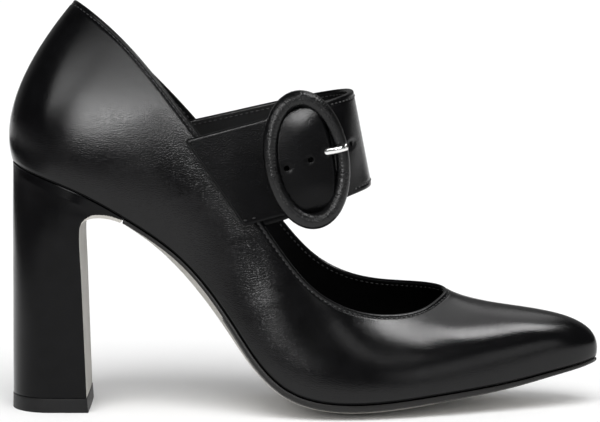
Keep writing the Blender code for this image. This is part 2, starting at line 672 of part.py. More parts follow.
def make_buckle(parent, collection):
    """Leather-covered oval ring, thicker at its two ends, with a steel bar and prong."""
    angle = np.arange(RING_STEPS) / RING_STEPS * 2 * math.pi
    forward = BUCKLE_HALF_SHORT * np.cos(angle)
    turn = math.radians(BUCKLE_TURN)
    oval = np.column_stack([BUCKLE_RUN + forward * math.cos(turn), BUCKLE_SIDE + forward * math.sin(turn),
                            BUCKLE_HALF_LONG * np.sin(angle)])
    radii = BUCKLE_TUBE_SIDE + (BUCKLE_TUBE_END - BUCKLE_TUBE_SIDE) * np.sin(angle) ** 2
    ring = tube_mesh("buckle_frame", in_shoe(oval), radii, closed=True)
    smooth(ring)
    add_object("buckle_frame", ring, finish("buckle_frame", (0.012, 0.012, 0.013), 0.45), parent, collection)

    across = np.linspace(-BAR_HALF_LENGTH, BAR_HALF_LENGTH, BAR_STEPS)
    bend = np.clip((np.abs(across) - BAR_STRAIGHT) / (BAR_HALF_LENGTH - BAR_STRAIGHT), 0.0, 1.0)
    path = in_shoe(np.column_stack([np.full(BAR_STEPS, BUCKLE_RUN), BAR_SIDE - BAR_BOW * bend ** 2, across]))
    bar = tube_mesh("buckle_bar", path, np.full(BAR_STEPS, BAR_RADIUS))
    smooth(bar)
    add_object("buckle_bar", bar, finish("buckle_bar", (0.3, 0.3, 0.31), 0.2, 1.0), parent, collection)

    path = in_shoe(at_across(prong_line(), PRONG_ACROSS))
    prong = tube_mesh("buckle_prong", path, np.full(len(path), PRONG_RADIUS))
    smooth(prong)
    add_object("buckle_prong", prong, finish("buckle_prong", (0.8, 0.8, 0.8), 0.12, 1.0), parent, collection)


def make_root(collection):
    """Empty at the shoe's origin that every piece hangs on."""
    root = bpy.data.objects.new(OBJECT_NAME + "_root", None)
    collection.objects.link(root)
    return root


def new_collection(name):
    """Collection linked to the scene."""
    collection = bpy.data.collections.new(name)
    bpy.context.scene.collection.children.link(collection)
    return collection


def build():
    for old in list(bpy.data.objects):
        bpy.data.objects.remove(old, do_unlink=True)
    collection = new_collection(OBJECT_NAME)
    root = make_root(collection)
    last = Last()
    make_upper(last, root, collection)
    make_insole(last, root, collection)
    make_outsole(last, root, collection)
    make_heel(last, root, collection)
    make_lift(root, collection)
    cutters = new_collection("cutters")
    make_strap(root, collection, cutters)
    make_chape(root, collection, cutters)
    make_buckle(root, collection)


build()
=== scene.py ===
# %% [markdown]
# # A block heel shoe with a buckled strap
# The shoe is a black leather court shoe for the right foot: a pointed toe, a tall block heel, a wide
# strap over the instep and a big oval buckle that is covered in leather.
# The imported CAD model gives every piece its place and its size. This lesson makes the same pieces
# again with finer surfaces, rounded edges, seams and stitches, and then gives them their finish.
# X runs from heel to toe, Y to the inner side of the foot and Z up from the floor.

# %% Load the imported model
import math

import bmesh
import bpy
import numpy as np
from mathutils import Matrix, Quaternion, Vector


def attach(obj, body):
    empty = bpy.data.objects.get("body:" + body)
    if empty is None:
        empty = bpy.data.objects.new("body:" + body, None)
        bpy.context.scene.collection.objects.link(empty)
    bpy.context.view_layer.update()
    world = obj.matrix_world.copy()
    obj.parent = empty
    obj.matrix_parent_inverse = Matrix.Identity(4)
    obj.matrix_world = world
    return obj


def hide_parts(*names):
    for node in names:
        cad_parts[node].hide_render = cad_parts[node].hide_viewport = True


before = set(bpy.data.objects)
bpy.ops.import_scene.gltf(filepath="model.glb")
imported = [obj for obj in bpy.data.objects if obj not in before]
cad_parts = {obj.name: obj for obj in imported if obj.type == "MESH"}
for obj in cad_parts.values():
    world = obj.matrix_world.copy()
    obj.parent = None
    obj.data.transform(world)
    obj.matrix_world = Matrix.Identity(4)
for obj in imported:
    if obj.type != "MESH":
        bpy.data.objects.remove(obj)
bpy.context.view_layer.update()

MM = 0.001
print("nodes:", ", ".join(sorted(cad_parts)))

# %% [markdown]
# ## The camera
# The photograph was taken from the outer side with a long lens, a little above the strap, so the
# lines of the sole and the heel stay almost parallel. The camera comes first, and a tracking
# quaternion turns the camera's -Z axis to the shoe.

# %% Camera
EYE = Vector((-0.0012, -1.3902, 0.2453))
LOOK_AT = Vector((-0.0012, 0.0, 0.0795))

camera_data = bpy.data.cameras.new("camera")
camera_data.lens = 207.4
camera_data.sensor_width = 36.0
camera = bpy.data.objects.new("camera", camera_data)
camera.location = EYE
camera.rotation_mode = "QUATERNION"
camera.rotation_quaternion = (LOOK_AT - EYE).to_track_quat("-Z", "Y")
bpy.context.scene.collection.objects.link(camera)
bpy.context.scene.camera = camera
print("camera is", round((LOOK_AT - EYE).length, 3), "m from the shoe")

# %% [markdown]
# ## Tables and smooth curves
# A shoemaker describes a last by sections. Each table here has a row for each section and a named
# column for each size, and splines join the rows. A closed spline runs right round the shoe, and an
# open one follows a strap from end to end. Both are plain numpy, so that any number of points can be
# read from the same few rows.

# %% Splines
CURVE_STEPS = 600        # points that measure the length of a curve


def column(table, columns, name):
    """One named column of a table as an array."""
    place = columns.index(name)
    return np.array([row[place] for row in table.values()], float)


def unit(vectors):
    """Vectors of length one."""
    return vectors / np.linalg.norm(vectors, axis=-1, keepdims=True)


def closed_spline(knots, values):
    """Curve with smooth curvature through the values, closed as its place goes from 0 to 1."""
    count = len(knots)
    spans = np.diff(np.append(knots, 1.0))
    rises = (np.roll(values, -1, axis=0) - values) / spans[:, None]
    system = np.zeros((count, count))
    for i in range(count):
        before = (i - 1) % count
        after = (i + 1) % count
        system[i, before] += spans[before]
        system[i, i] += 2.0 * (spans[before] + spans[i])
        system[i, after] += spans[i]
    bends = np.linalg.solve(system, 6.0 * (rises - np.roll(rises, 1, axis=0)))

    def at(places):
        places = np.mod(np.asarray(places, float), 1.0)
        i = np.clip(np.searchsorted(knots, places, side="right") - 1, 0, count - 1)
        after = (i + 1) % count
        span = spans[i][:, None]
        b = (places - knots[i])[:, None] / span
        a = 1.0 - b
        bent = (a ** 3 - a) * bends[i] + (b ** 3 - b) * bends[after]
        return a * values[i] + b * values[after] + bent * span ** 2 / 6.0

    return at


def open_spline(points, places):
    """Catmull-Rom curve through the points, read at places from 0 to 1 along it."""
    points = np.asarray(points, float)
    padded = np.vstack([2 * points[0] - points[1], points, 2 * points[-1] - points[-2]])
    steps = np.sqrt(np.linalg.norm(np.diff(padded, axis=0), axis=1))
    knots = np.concatenate([[0.0], np.cumsum(steps)])
    t = knots[1] + np.asarray(places, float) * (knots[-2] - knots[1])
    i = np.clip(np.searchsorted(knots, t, side="right") - 1, 1, len(points) - 1)
    k = [knots[i + shift] for shift in (-1, 0, 1, 2)]
    p = [padded[i + shift] for shift in (-1, 0, 1, 2)]

    def between(first, last, start, end):
        share = ((t - start) / (end - start))[:, None]
        return first + (last - first) * share

    a = [between(p[j], p[j + 1], k[j], k[j + 1]) for j in range(3)]
    b = [between(a[j], a[j + 1], k[j], k[j + 2]) for j in range(2)]
    return between(b[0], b[1], k[1], k[2])


def even_steps(points, count, cut):
    """Points at even steps along the curve through the given ones, with both ends cut back."""
    fine = open_spline(points, np.linspace(0.0, 1.0, CURVE_STEPS))
    reach = np.concatenate([[0.0], np.cumsum(np.linalg.norm(np.diff(fine, axis=0), axis=1))])
    lengths = np.linspace(cut, reach[-1] - cut, count)
    return np.column_stack([np.interp(lengths, reach, values) for values in fine.T])

# %% [markdown]
# ## The last
# The last is the form that a shoe is built on. Its feather edge is the line where the upper meets
# the sole, and its topline is the edge that the foot goes in through. The same rows as in the CAD
# model are used, so the leather lies where the CAD solid is. Every rib from feather edge to topline
# is a cubic Bezier curve, which a few angles and lengths describe well.

# %% Sections of the last
LENGTH = 238.0           # millimetres, back of the heel to the tip of the toe
BALL_WIDTH = 80.0
HEEL_HEIGHT = 100.0
INSTEP_HEIGHT = 128.0
WALL = 1.8               # leather and lining together
GAP = 0.3                # clearance between pieces that meet

SECTION_COLUMNS = ("along", "seat", "lateral", "medial", "sag", "sole",
                   "top_along", "top_z_lateral", "top_z_medial", "top_lateral", "top_medial",
                   "lean", "splay", "wall", "crest", "fall")
SECTIONS = {
    "heel back":   (0.8, 100.1, 0.0, 0.0, 0.0, 2.0, 11.5, 129.1, 129.1, 0.0, 0.0, 20, 33, 33, 30, 25),
    "heel curve":  (3.9, 97.3, 22.6, 22.5, 0.0, 2.0, 13.9, 126.9, 124.5, 14.4, 14.4, 20, 21, 33, 31, 20),
    "heel side":   (11.3, 90.6, 31.6, 31.2, 0.0, 2.0, 20.2, 117.2, 112.2, 25.6, 25.6, 20, 12, 33, 33, 14),
    "seat front":  (20.6, 78.6, 32.0, 29.4, 1.0, 1.9, 28.6, 98.9, 95.8, 33.2, 31.6, 22, 10, 33, 33, 8),
    "waist":       (29.8, 62.6, 32.9, 26.6, 3.4, 1.8, 37.4, 77.0, 76.6, 36.6, 34.8, 24, 10, 33, 33, 6),
    "arch":        (38.7, 36.1, 40.0, 29.8, 3.2, 2.1, 45.8, 54.5, 58.2, 39.4, 37.0, 25, 8, 33, 33, 8),
    "tread":       (47.9, 11.4, 47.0, 39.6, 3.0, 2.8, 52.5, 40.0, 45.1, 38.8, 36.6, 15, 6, 35, 33, 16),
    "ball":        (58.4, 6.5, 48.4, 48.0, 4.2, 3.0, 58.6, 33.8, 39.7, 33.8, 34.1, 2, 5, 38, 35, 32),
    "vamp":        (73.1, 9.0, 37.8, 41.9, 2.8, 2.8, 66.0, 31.7, 38.2, 24.4, 26.2, -4, 6, 42, 38, 46),
    "toe side":    (85.7, 12.6, 22.9, 30.0, 1.5, 2.3, 70.8, 33.2, 38.3, 14.8, 17.5, -6, 8, 42, 37, 52),
    "toe corner":  (93.3, 16.0, 13.4, 20.8, 0.8, 1.8, 73.2, 35.5, 38.0, 5.6, 11.2, -7, 14, 41, 32, 51),
    "toe round":   (98.3, 18.3, 4.6, 11.8, 0.3, 1.5, 74.1, 36.7, 37.5, 0.0, 6.5, -8, 19, 39, 27, 48),
    "toe tip":     (100.2, 19.4, -3.7, 3.7, 0.0, 1.4, 74.2, 37.2, 37.2, -3.1, 3.1, -8, 21, 38, 25, 47),
}
EDGE_COLUMNS = 6         # the spline has X, Y and Z of the feather edge and of the topline first
SHAPE_COLUMNS = ("sag", "sole", "lean", "splay", "wall", "crest", "fall")
SAG, SOLE, LEAN, SPLAY, WALL_PULL, CREST, FALL = range(EDGE_COLUMNS, EDGE_COLUMNS + len(SHAPE_COLUMNS))
SIDE_PLACES = 400        # places that are read along one side


class Last:
    """The form of the foot. Place 0 is the heel back, 0.5 the toe tip, and the outer side comes first."""

    def __init__(self):
        def read(name):
            return column(SECTIONS, SECTION_COLUMNS, name)

        feather_x = read("along") * LENGTH / 100 - LENGTH / 2
        feather_z = read("seat") * HEEL_HEIGHT / 100
        top_x = read("top_along") * LENGTH / 100 - LENGTH / 2
        rings = []
        for side, sign in (("lateral", -1), ("medial", 1)):
            feather_y = sign * read(side) * BALL_WIDTH / 100
            top_y = sign * read("top_" + side) * BALL_WIDTH / 100
            top_z = read("top_z_" + side) * INSTEP_HEIGHT / 100
            shape = [read(name) for name in SHAPE_COLUMNS]
            rings.append(np.column_stack([feather_x, feather_y, feather_z, top_x, top_y, top_z] + shape))
        steps = [np.linalg.norm(np.diff(ring[:, k:k + 3], axis=0), axis=1) for ring in rings for k in (0, 3)]
        half = np.concatenate([[0.0], np.cumsum(np.mean(steps, axis=0))])
        half = half / half[-1] / 2
        knots = np.concatenate([half, 1.0 - half[-2:0:-1]])
        self.read_ring = closed_spline(knots, np.vstack([rings[0], rings[1][-2:0:-1]]))
        self.places = np.linspace(0.0, 0.5, SIDE_PLACES)
        middle = (self.feather(self.places) + self.feather(1.0 - self.places)) / 2
        self.seat_x = middle[:, 0]
        self.seat_slope = np.gradient(middle[:, 2], middle[:, 0])

    def feather(self, places):
        return self.read_ring(places)[:, 0:3]

    def outward(self, places, first):
        """Level direction away from the shoe, for the ring whose columns begin at first."""
        step = 1e-4
        along = self.read_ring(places + step) - self.read_ring(places - step)
        tangent = along[:, first:first + 2]
        return unit(np.column_stack([tangent[:, 1], -tangent[:, 0], np.zeros(len(places))]))

    def seat_up(self, x):
        """Direction square to the bottom of the last, seen from the side."""
        slope = np.interp(x, self.seat_x, self.seat_slope)
        return unit(np.column_stack([-slope, np.zeros(len(slope)), np.ones(len(slope))]))

    def place_at(self, x):
        """Place on the outer side whose feather edge lies at x."""
        return np.interp(x, self.feather(self.places)[:, 0], self.places)

    def surface(self, places, shares):
        """Points on the ribs, at shares from the feather edge (0) to the topline (1)."""
        ring = self.read_ring(places)
        foot = ring[:, 0:3]
        top = ring[:, 3:6]
        lean, splay, fall = (np.radians(ring[:, k])[:, None] for k in (LEAN, SPLAY, FALL))
        chord = np.linalg.norm(top - foot, axis=1)[:, None]
        up = np.hstack([np.sin(lean), np.zeros_like(lean), np.cos(lean)])
        leave = unit(up * np.cos(splay) + self.outward(places, 0) * np.sin(splay))
        arrive = unit(self.outward(places, 3) * np.sin(fall) - up * np.cos(fall))
        hull = (foot, foot + ring[:, WALL_PULL, None] / 100 * chord * leave,
                top + ring[:, CREST, None] / 100 * chord * arrive, top)
        v = np.broadcast_to(shares, (len(places), np.shape(shares)[-1]))[:, :, None]
        weights = ((1 - v) ** 3, 3 * v * (1 - v) ** 2, 3 * v ** 2 * (1 - v), v ** 3)
        return sum(point[:, None, :] * weight for point, weight in zip(hull, weights))

    def bottom(self, places, across, inset, lift):
        """Bottom of the last between its feather edges, moved in by inset and up by lift."""
        lateral = self.feather(places) - inset * self.outward(places, 0)
        medial = self.feather(1.0 - places) - inset * self.outward(1.0 - places, 0)
        sag = self.read_ring(places)[:, SAG]
        up = self.seat_up((lateral[:, 0] + medial[:, 0]) / 2)
        t = np.asarray(across)[None, :, None]
        flat = lateral[:, None, :] * (1 - t) / 2 + medial[:, None, :] * (1 + t) / 2
        return flat + (lift - sag[:, None, None] * (1 - t ** 2)) * up[:, None, :]


last = Last()
heel_end, toe_end = last.feather(np.array([0.0, 0.5])).round(1)
print("feather edge runs from", heel_end, "to", toe_end)

# %% [markdown]
# ## Finishes
# All the leather is black, so its look comes from gloss and grain and not from colour. A Voronoi
# texture that measures the distance to the edge of each cell gives the raised pebbles with fine
# valleys between them. A second, finer noise breaks them up, and a Bump node turns both into relief.
# A large soft noise varies the roughness, because real leather is never evenly polished.
# Object coordinates are in metres, so a scale of 1000 makes cells of about one millimetre.

# %% Nodes
def feed(tree, socket, value):
    """Links another node's output to a socket, or sets the socket's own value."""
    if isinstance(value, bpy.types.NodeSocket):
        tree.links.new(value, socket)
    else:
        socket.default_value = value


def add_node(tree, kind, settings=(), **inputs):
    """New node with its settings and inputs. An input's name has _ where the socket has a space."""
    made = tree.nodes.new(kind)
    for name, value in settings:
        setattr(made, name, value)
    for name, value in inputs.items():
        feed(tree, made.inputs[name.replace("_", " ")], value)
    return made


def new_finish(name, colour, roughness):
    """Material with its shader, and the output that every texture reads its place from."""
    material = bpy.data.materials.new(name)
    material.use_nodes = True
    material.diffuse_color = (*colour, 1.0)
    shader = material.node_tree.nodes["Principled BSDF"]
    shader.inputs["Base Color"].default_value = (*colour, 1.0)
    shader.inputs["Roughness"].default_value = roughness
    place = add_node(material.node_tree, "ShaderNodeTexCoord")
    return material, shader, place.outputs["Object"]

# %% [markdown]
# Four helpers cover what every finish needs: a noise, a value brought into a range, a tone that drifts,
# and relief. Several Bump nodes are chained, each bending the normal that the one before it gives.

# %% Textures
NOISE_RANGE = (0.3, 0.7)        # where most values of a noise texture lie


def add_noise(tree, place, scale, detail):
    """Noise texture of a given scale per metre."""
    return add_node(tree, "ShaderNodeTexNoise", Scale=scale, Detail=detail, Vector=place).outputs["Fac"]


def spread(tree, value, low, high, start=NOISE_RANGE[0], end=NOISE_RANGE[1]):
    """Value brought smoothly into a range from low to high, as it goes from start to end."""
    ranger = add_node(tree, "ShaderNodeMapRange", [("interpolation_type", "SMOOTHSTEP")],
                      From_Min=start, From_Max=end, To_Min=low, To_Max=high, Value=value)
    return ranger.outputs["Result"]


def tint(tree, shader, value, dark, light):
    """Base colour that drifts between two tones."""
    ramp = add_node(tree, "ShaderNodeValToRGB", Fac=value)
    for stop, position, tone in zip(ramp.color_ramp.elements, NOISE_RANGE, (dark, light)):
        stop.position = position
        stop.color = (*tone, 1.0)
    tree.links.new(ramp.outputs["Color"], shader.inputs["Base Color"])


def relief(tree, shader, heights):
    """Bump from several textures, each with its depth in millimetres and its strength."""
    normal = None
    for value, depth, strength in heights:
        bump = add_node(tree, "ShaderNodeBump", Distance=depth * MM, Strength=strength, Height=value)
        if normal is not None:
            tree.links.new(normal, bump.inputs["Normal"])
        normal = bump.outputs["Normal"]
    tree.links.new(normal, shader.inputs["Normal"])

# %% [markdown]
# Leather puts them together. The pores are a noise that is finer than the pebbles, and tone and polish
# drift in soft clouds that are much larger.

# %% Leather
BLACK = (0.0018, 0.0018, 0.0020)
SOFT_BLACK = (0.0032, 0.0032, 0.0036)
TONE_SCALE = 160.0              # clouds of tone in a metre
POLISH_SCALE = 45.0             # clouds of polish in a metre
POLISH_DRIFT = (-0.03, 0.05)    # how far they change the roughness
PORES_IN_PEBBLE = 2.6
PORE_SHARE = 0.6                # of the pebbles' depth and strength


def leather(name, roughness, specular, grain, valley, depth, strength):
    """Black leather: pebbles in a metre, share of a pebble that slopes, its depth and its strength."""
    material, shader, place = new_finish(name, BLACK, roughness)
    tree = material.node_tree
    shader.inputs["Specular IOR Level"].default_value = specular
    cells = add_node(tree, "ShaderNodeTexVoronoi", [("feature", "DISTANCE_TO_EDGE")],
                     Scale=grain, Vector=place)
    pebbles = spread(tree, cells.outputs["Distance"], 0.0, 1.0, 0.0, valley)
    pores = add_noise(tree, place, grain * PORES_IN_PEBBLE, 3.0)
    polish = add_noise(tree, place, POLISH_SCALE, 3.0)
    tint(tree, shader, add_noise(tree, place, TONE_SCALE, 4.0), BLACK, SOFT_BLACK)
    low, high = POLISH_DRIFT
    tree.links.new(spread(tree, polish, roughness + low, roughness + high), shader.inputs["Roughness"])
    relief(tree, shader, [(pebbles, depth, strength), (pores, depth * PORE_SHARE, strength * PORE_SHARE)])
    return material

# %% [markdown]
# The five leathers differ in gloss and in grain. Upper and heel are the most polished, the covering of
# the buckle has the deepest grain, and the heel is almost smooth, because its leather is stretched.

# %% The five leathers
LEATHER_COLUMNS = ("roughness", "specular", "grain", "valley", "depth", "strength")
LEATHERS = {
    "upper_leather":  (0.17, 0.31, 1200.0, 0.28, 0.029, 0.50),
    "strap_leather":  (0.22, 0.12, 1050.0, 0.28, 0.034, 0.55),
    "wrap_leather":   (0.25, 0.38, 1000.0, 0.28, 0.055, 0.75),
    "heel_leather":   (0.17, 0.14, 1600.0, 0.20, 0.008, 0.30),
    "lining_leather": (0.60, 0.10, 1300.0, 0.20, 0.050, 0.40),
}
upper_leather, strap_leather, wrap_leather, heel_leather, lining_leather = (
    leather(name, **dict(zip(LEATHER_COLUMNS, row))) for name, row in LEATHERS.items())
print("leathers:", ", ".join(LEATHERS))

# %% [markdown]
# The sole has a painted black edge and a pale warm grey underside that runs on down the front of the
# heel. The heel stands on a matte rubber top piece. The prong is bright steel and the bar dark steel:
# metal with fine scratches in its roughness, so that its reflections are not perfectly clean.

# %% Sole, rubber, thread and steel
TONE_SHARE = 1 / 12             # clouds of tone are that much coarser than the fine relief
PLAIN_DRIFT = 0.05              # of roughness, either way
PLAIN_STRENGTH = 0.3            # of the relief
SCRATCH_SCALE = 2200.0          # scratches in a metre of steel
SCRATCH_DRIFT = (-0.04, 0.06)   # how far they change the roughness


def plain_finish(name, dark, light, roughness, specular, scale, depth):
    """Even finish with a fine drift of tone and a slight relief."""
    material, shader, place = new_finish(name, dark, roughness)
    tree = material.node_tree
    shader.inputs["Specular IOR Level"].default_value = specular
    fine = add_noise(tree, place, scale, 4.0)
    tint(tree, shader, add_noise(tree, place, scale * TONE_SHARE, 3.0), dark, light)
    rough = spread(tree, fine, roughness - PLAIN_DRIFT, roughness + PLAIN_DRIFT)
    tree.links.new(rough, shader.inputs["Roughness"])
    relief(tree, shader, [(fine, depth, PLAIN_STRENGTH)])
    return material


def steel(name, colour, roughness):
    """Polished metal with fine scratches."""
    material, shader, place = new_finish(name, colour, roughness)
    tree = material.node_tree
    shader.inputs["Metallic"].default_value = 1.0
    low, high = SCRATCH_DRIFT
    rough = spread(tree, add_noise(tree, place, SCRATCH_SCALE, 4.0), roughness + low, roughness + high)
    tree.links.new(rough, shader.inputs["Roughness"])
    return material


PLAIN_COLUMNS = ("dark", "light", "roughness", "specular", "scale", "depth")
PLAIN_FINISHES = {
    "sole_edge":   ((0.006, 0.0055, 0.005), (0.009, 0.0085, 0.008), 0.38, 0.35, 900.0, 0.02),
    # The edge paint is also painted shade: its dead black stands in for the shadow line beside the strap's
    # free end.
    "edge_paint_and_shade":  ((0.0015, 0.0015, 0.0016), (0.0025, 0.0025, 0.0026), 0.5, 0.12, 1200.0, 0.02),
    "sole_under":  ((0.40, 0.385, 0.355), (0.46, 0.445, 0.415), 0.55, 0.35, 1200.0, 0.03),
    "lift_rubber": ((0.004, 0.004, 0.0043), (0.007, 0.007, 0.0073), 0.45, 0.25, 1500.0, 0.03),
    "thread":      ((0.012, 0.012, 0.0125), (0.024, 0.024, 0.0245), 0.32, 0.6, 3000.0, 0.02),
}
sole_edge, edge_paint_and_shade, sole_under, lift_rubber, thread = (
    plain_finish(name, **dict(zip(PLAIN_COLUMNS, row))) for name, row in PLAIN_FINISHES.items())
bright_steel = steel("bright_steel", (0.86, 0.86, 0.85), 0.12)
dark_steel = steel("dark_steel", (0.20, 0.20, 0.21), 0.2)
print("other finishes:", ", ".join(PLAIN_FINISHES), "and two steels")

# %% [markdown]
# ## From a grid of points to a piece
# Most pieces are grids of points: around the shoe and up it, or along a strap and across it. One
# helper makes the quads, one measures which way a grid faces, and one turns points and faces into
# an object that rides on the shoe. Points that fall together at the toe and heel are merged, and the
# faces are turned outwards before the surface is shaded smooth.

# %% Grids and pieces
MERGE = 0.004            # millimetres: points closer than this become one
SLIVER = 0.002           # and edges shorter than this are dissolved


def grid_quads(columns, rows, closed_columns=False, closed_rows=False, start=0):
    """Quads of a grid whose points run along the rows of each column."""
    i = np.arange(columns if closed_columns else columns - 1)[:, None]
    j = np.arange(rows if closed_rows else rows - 1)[None, :]
    after_i = (i + 1) % columns
    after_j = (j + 1) % rows
    corners = [i * rows + j, after_i * rows + j, after_i * rows + after_j, i * rows + after_j]
    return np.stack(corners, axis=-1).reshape(-1, 4) + start


def grid_normals(grid, closed_columns=False):
    """Directions square to a grid: along its columns crossed with along its rows."""
    if closed_columns:
        along = np.roll(grid, -1, axis=0) - np.roll(grid, 1, axis=0)
    else:
        along = np.gradient(grid, axis=0)
    return unit(np.cross(along, np.gradient(grid, axis=1)))


def piece_mesh(name, points, faces, materials, parts=None):
    """Mesh in metres, merged, facing out and smooth; parts gives each face its material."""
    mesh = bpy.data.meshes.new(name)
    corners = (np.asarray(points).reshape(-1, 3) * MM).tolist()
    mesh.from_pydata(corners, [], [list(map(int, face)) for face in faces])
    for material in materials:
        mesh.materials.append(material)
    if parts is not None:
        mesh.polygons.foreach_set("material_index", np.asarray(parts, np.int32))
    work = bmesh.new()
    work.from_mesh(mesh)
    bmesh.ops.remove_doubles(work, verts=work.verts, dist=MERGE * MM)
    bmesh.ops.dissolve_degenerate(work, edges=work.edges, dist=SLIVER * MM)
    bmesh.ops.recalc_face_normals(work, faces=work.faces)
    work.to_mesh(mesh)
    work.free()
    return mesh


def add_piece(mesh, node=None, angle=50.0):
    """Object that rides on the shoe and stands for a CAD node."""
    mesh.shade_smooth()
    mesh.set_sharp_from_angle(angle=math.radians(angle))
    piece = bpy.data.objects.new(mesh.name, mesh)
    bpy.context.scene.collection.objects.link(piece)
    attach(piece, "root")
    if node:
        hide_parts(node)
    print(mesh.name, "has", sum(len(p.vertices) - 2 for p in mesh.polygons), "triangles")
    return piece

# %% [markdown]
# ## The upper
# The upper is one shell of leather and lining. A Solidify modifier would leave a square edge at the
# topline, where real leather is folded over, so the wall is drawn as a closed loop instead: up the
# outside, round the folded edge, down the lining and round the lower edge. Rows lie close together
# below the topline, where the stitches press a fine trough into the leather.

# %% Rows of the upper
AROUND = 640             # columns round the shoe
EDGE = WALL / 2          # radius of the folded edge
RIB_POINTS = 160         # points that measure a rib
TOP_ROWS = 16            # close rows below the topline
WALL_ROWS = 46           # rows from there to the feather edge
NEAR_TOP = 5.0           # millimetres below the topline that have close rows
STITCH_DROP = 2.0        # millimetres from the topline to the stitches

places = np.arange(AROUND) / AROUND
fine_shares = np.linspace(0.0, 1.0, RIB_POINTS)
ribs = last.surface(places, fine_shares)
rib_steps = np.linalg.norm(np.diff(ribs, axis=1), axis=2)
rib_drops = np.hstack([np.cumsum(rib_steps[:, ::-1], axis=1)[:, ::-1], np.zeros((AROUND, 1))])
rib_length = rib_drops[:, 0]


def shares_at(drops):
    """Shares of each rib that lie at the given drops below the topline."""
    return np.array([np.interp(-wanted, -drop, fine_shares) for wanted, drop in zip(drops, rib_drops)])


top_rows = np.broadcast_to(np.linspace(EDGE, NEAR_TOP, TOP_ROWS), (AROUND, TOP_ROWS))
foot_end = (rib_length - EDGE)[:, None]
wall_rows = NEAR_TOP + (foot_end - NEAR_TOP) * np.linspace(0.0, 1.0, WALL_ROWS)[None, 1:]
outer_drops = np.hstack([top_rows, wall_rows])[:, ::-1]
outer = last.surface(places, shares_at(outer_drops))
outer_normals = grid_normals(outer, closed_columns=True)
print("ribs are", rib_length.min().round(1), "to", rib_length.max().round(1), "mm long")

# %% [markdown]
# The leather is new, so it has no sharp creases. A few soft waves show where it was pulled over the
# last: along the vamp, over the ball and below the strap. Each wave is a line on the surface with a
# width and a depth in millimetres, and a negative depth is a trough. The line's ends are given by
# their place round the shoe and their share of the rib, and the wave fades out along it.

# %% Soft waves in the leather
TROUGH_DEPTH = 0.38      # of the line that the stitches press in
TROUGH_WIDTH = 0.5
WAVE_MARGIN = 8.0        # millimetres from either edge over which the waves fade out
WAVE_ENDS = 0.08         # share of a half sine that is cut off at each end of a wave
# Columns: from_place, from_share, to_place, to_share, width and depth.
WAVES = {
    "vamp dip":         (0.385, 0.80, 0.425, 0.44, 6.0, -0.20),
    "vamp ridge":       (0.405, 0.84, 0.446, 0.46, 6.0, 0.16),
    "ball dip":         (0.345, 0.72, 0.392, 0.34, 7.0, -0.25),
    "ball ridge":       (0.325, 0.78, 0.362, 0.40, 7.0, 0.25),
    "flex dip":         (0.300, 0.86, 0.318, 0.50, 5.0, -0.20),
    "arch dip":         (0.225, 0.80, 0.262, 0.45, 9.0, -0.30),
    "quarter dip":      (0.120, 0.86, 0.165, 0.52, 9.0, -0.30),
    "free end dip":     (0.141, 0.870, 0.2195, 0.735, 6.0, -0.15),
    "inner vamp dip":   (0.615, 0.80, 0.575, 0.44, 6.0, -0.30),
    "inner ball ridge": (0.675, 0.78, 0.640, 0.40, 7.0, 0.25),
    "inner arch dip":   (0.775, 0.80, 0.740, 0.45, 9.0, -0.30),
}


def on_surface(place, share):
    return last.surface(np.array([place]), np.array([share]))[0, 0]


def wave_heights(grid):
    """How far each point of the upper is moved out by the waves."""
    heights = np.zeros(grid.shape[:2])
    for from_place, from_share, to_place, to_share, width, depth in WAVES.values():
        start = on_surface(from_place, from_share)
        line = on_surface(to_place, to_share) - start
        t = np.clip((grid - start) @ line / (line @ line), 0.0, 1.0)
        away = np.linalg.norm(grid - start - t[..., None] * line, axis=-1)
        fade_out = np.sin(math.pi * (WAVE_ENDS + (1 - 2 * WAVE_ENDS) * t))
        heights += depth * np.exp(-(away / width) ** 2) * fade_out
    return heights


trough = -TROUGH_DEPTH * np.exp(-((outer_drops - STITCH_DROP) / TROUGH_WIDTH) ** 2)
fade = np.clip((outer_drops - EDGE) / WAVE_MARGIN, 0.0, 1.0)
fade = fade * np.clip((foot_end - outer_drops) / WAVE_MARGIN, 0.0, 1.0)
heights = wave_heights(outer) * fade + trough
print("leather moves between", heights.min().round(2), "and", heights.max().round(2), "mm")

# %% [markdown]
# Now the loop is closed. The folded edge and the lower edge are half circles between the leather's
# outside and its lining, drawn from the direction square to the rib and the direction along it.

# %% Upper shell
LINING_ROWS = 26
TOP_FOLD = 10            # points of the folded edge, with those that it shares with leather and lining
LOW_FOLD = 8
FOLD_LEATHER = 5         # rows of the folded edge that are still outer leather

rib_up = unit(np.gradient(outer, axis=1))
shown = outer + outer_normals * heights[..., None]
picks = np.linspace(outer.shape[1] - 1, 0, LINING_ROWS).round().astype(int)
lining = (outer - WALL * outer_normals)[:, picks]


def half_round(row, angles):
    """Half circle from leather to lining at one row of the upper."""
    centre = outer[:, row] - EDGE * outer_normals[:, row]
    turn = np.asarray(angles)[None, :, None]
    return centre[:, None] + EDGE * (np.cos(turn) * outer_normals[:, row][:, None]
                                     + np.sin(turn) * rib_up[:, row][:, None])


top_edge = half_round(-1, np.linspace(0.0, math.pi, TOP_FOLD)[1:-1])
low_edge = half_round(0, np.linspace(math.pi, 2 * math.pi, LOW_FOLD)[1:-1])
shell = np.concatenate([shown, top_edge, lining, low_edge], axis=1)
row_parts = np.zeros(shell.shape[1], int)
row_parts[shown.shape[1] + FOLD_LEATHER:] = 1
upper_mesh = piece_mesh("upper", shell, grid_quads(AROUND, shell.shape[1], True, True),
                        [upper_leather, lining_leather], np.tile(row_parts, AROUND))
upper = add_piece(upper_mesh, "upper")
upper.name = "leather_upper"

# %% [markdown]
# ## Plates with a rounded rim
# Insole, outsole and straps are plates: a grid on one side, a grid on the other and a rim between
# them. A cut edge with square corners catches no light, so the rim is an arc that bulges out. The
# power makes the arc rounder (1) or squarer (less than 1).

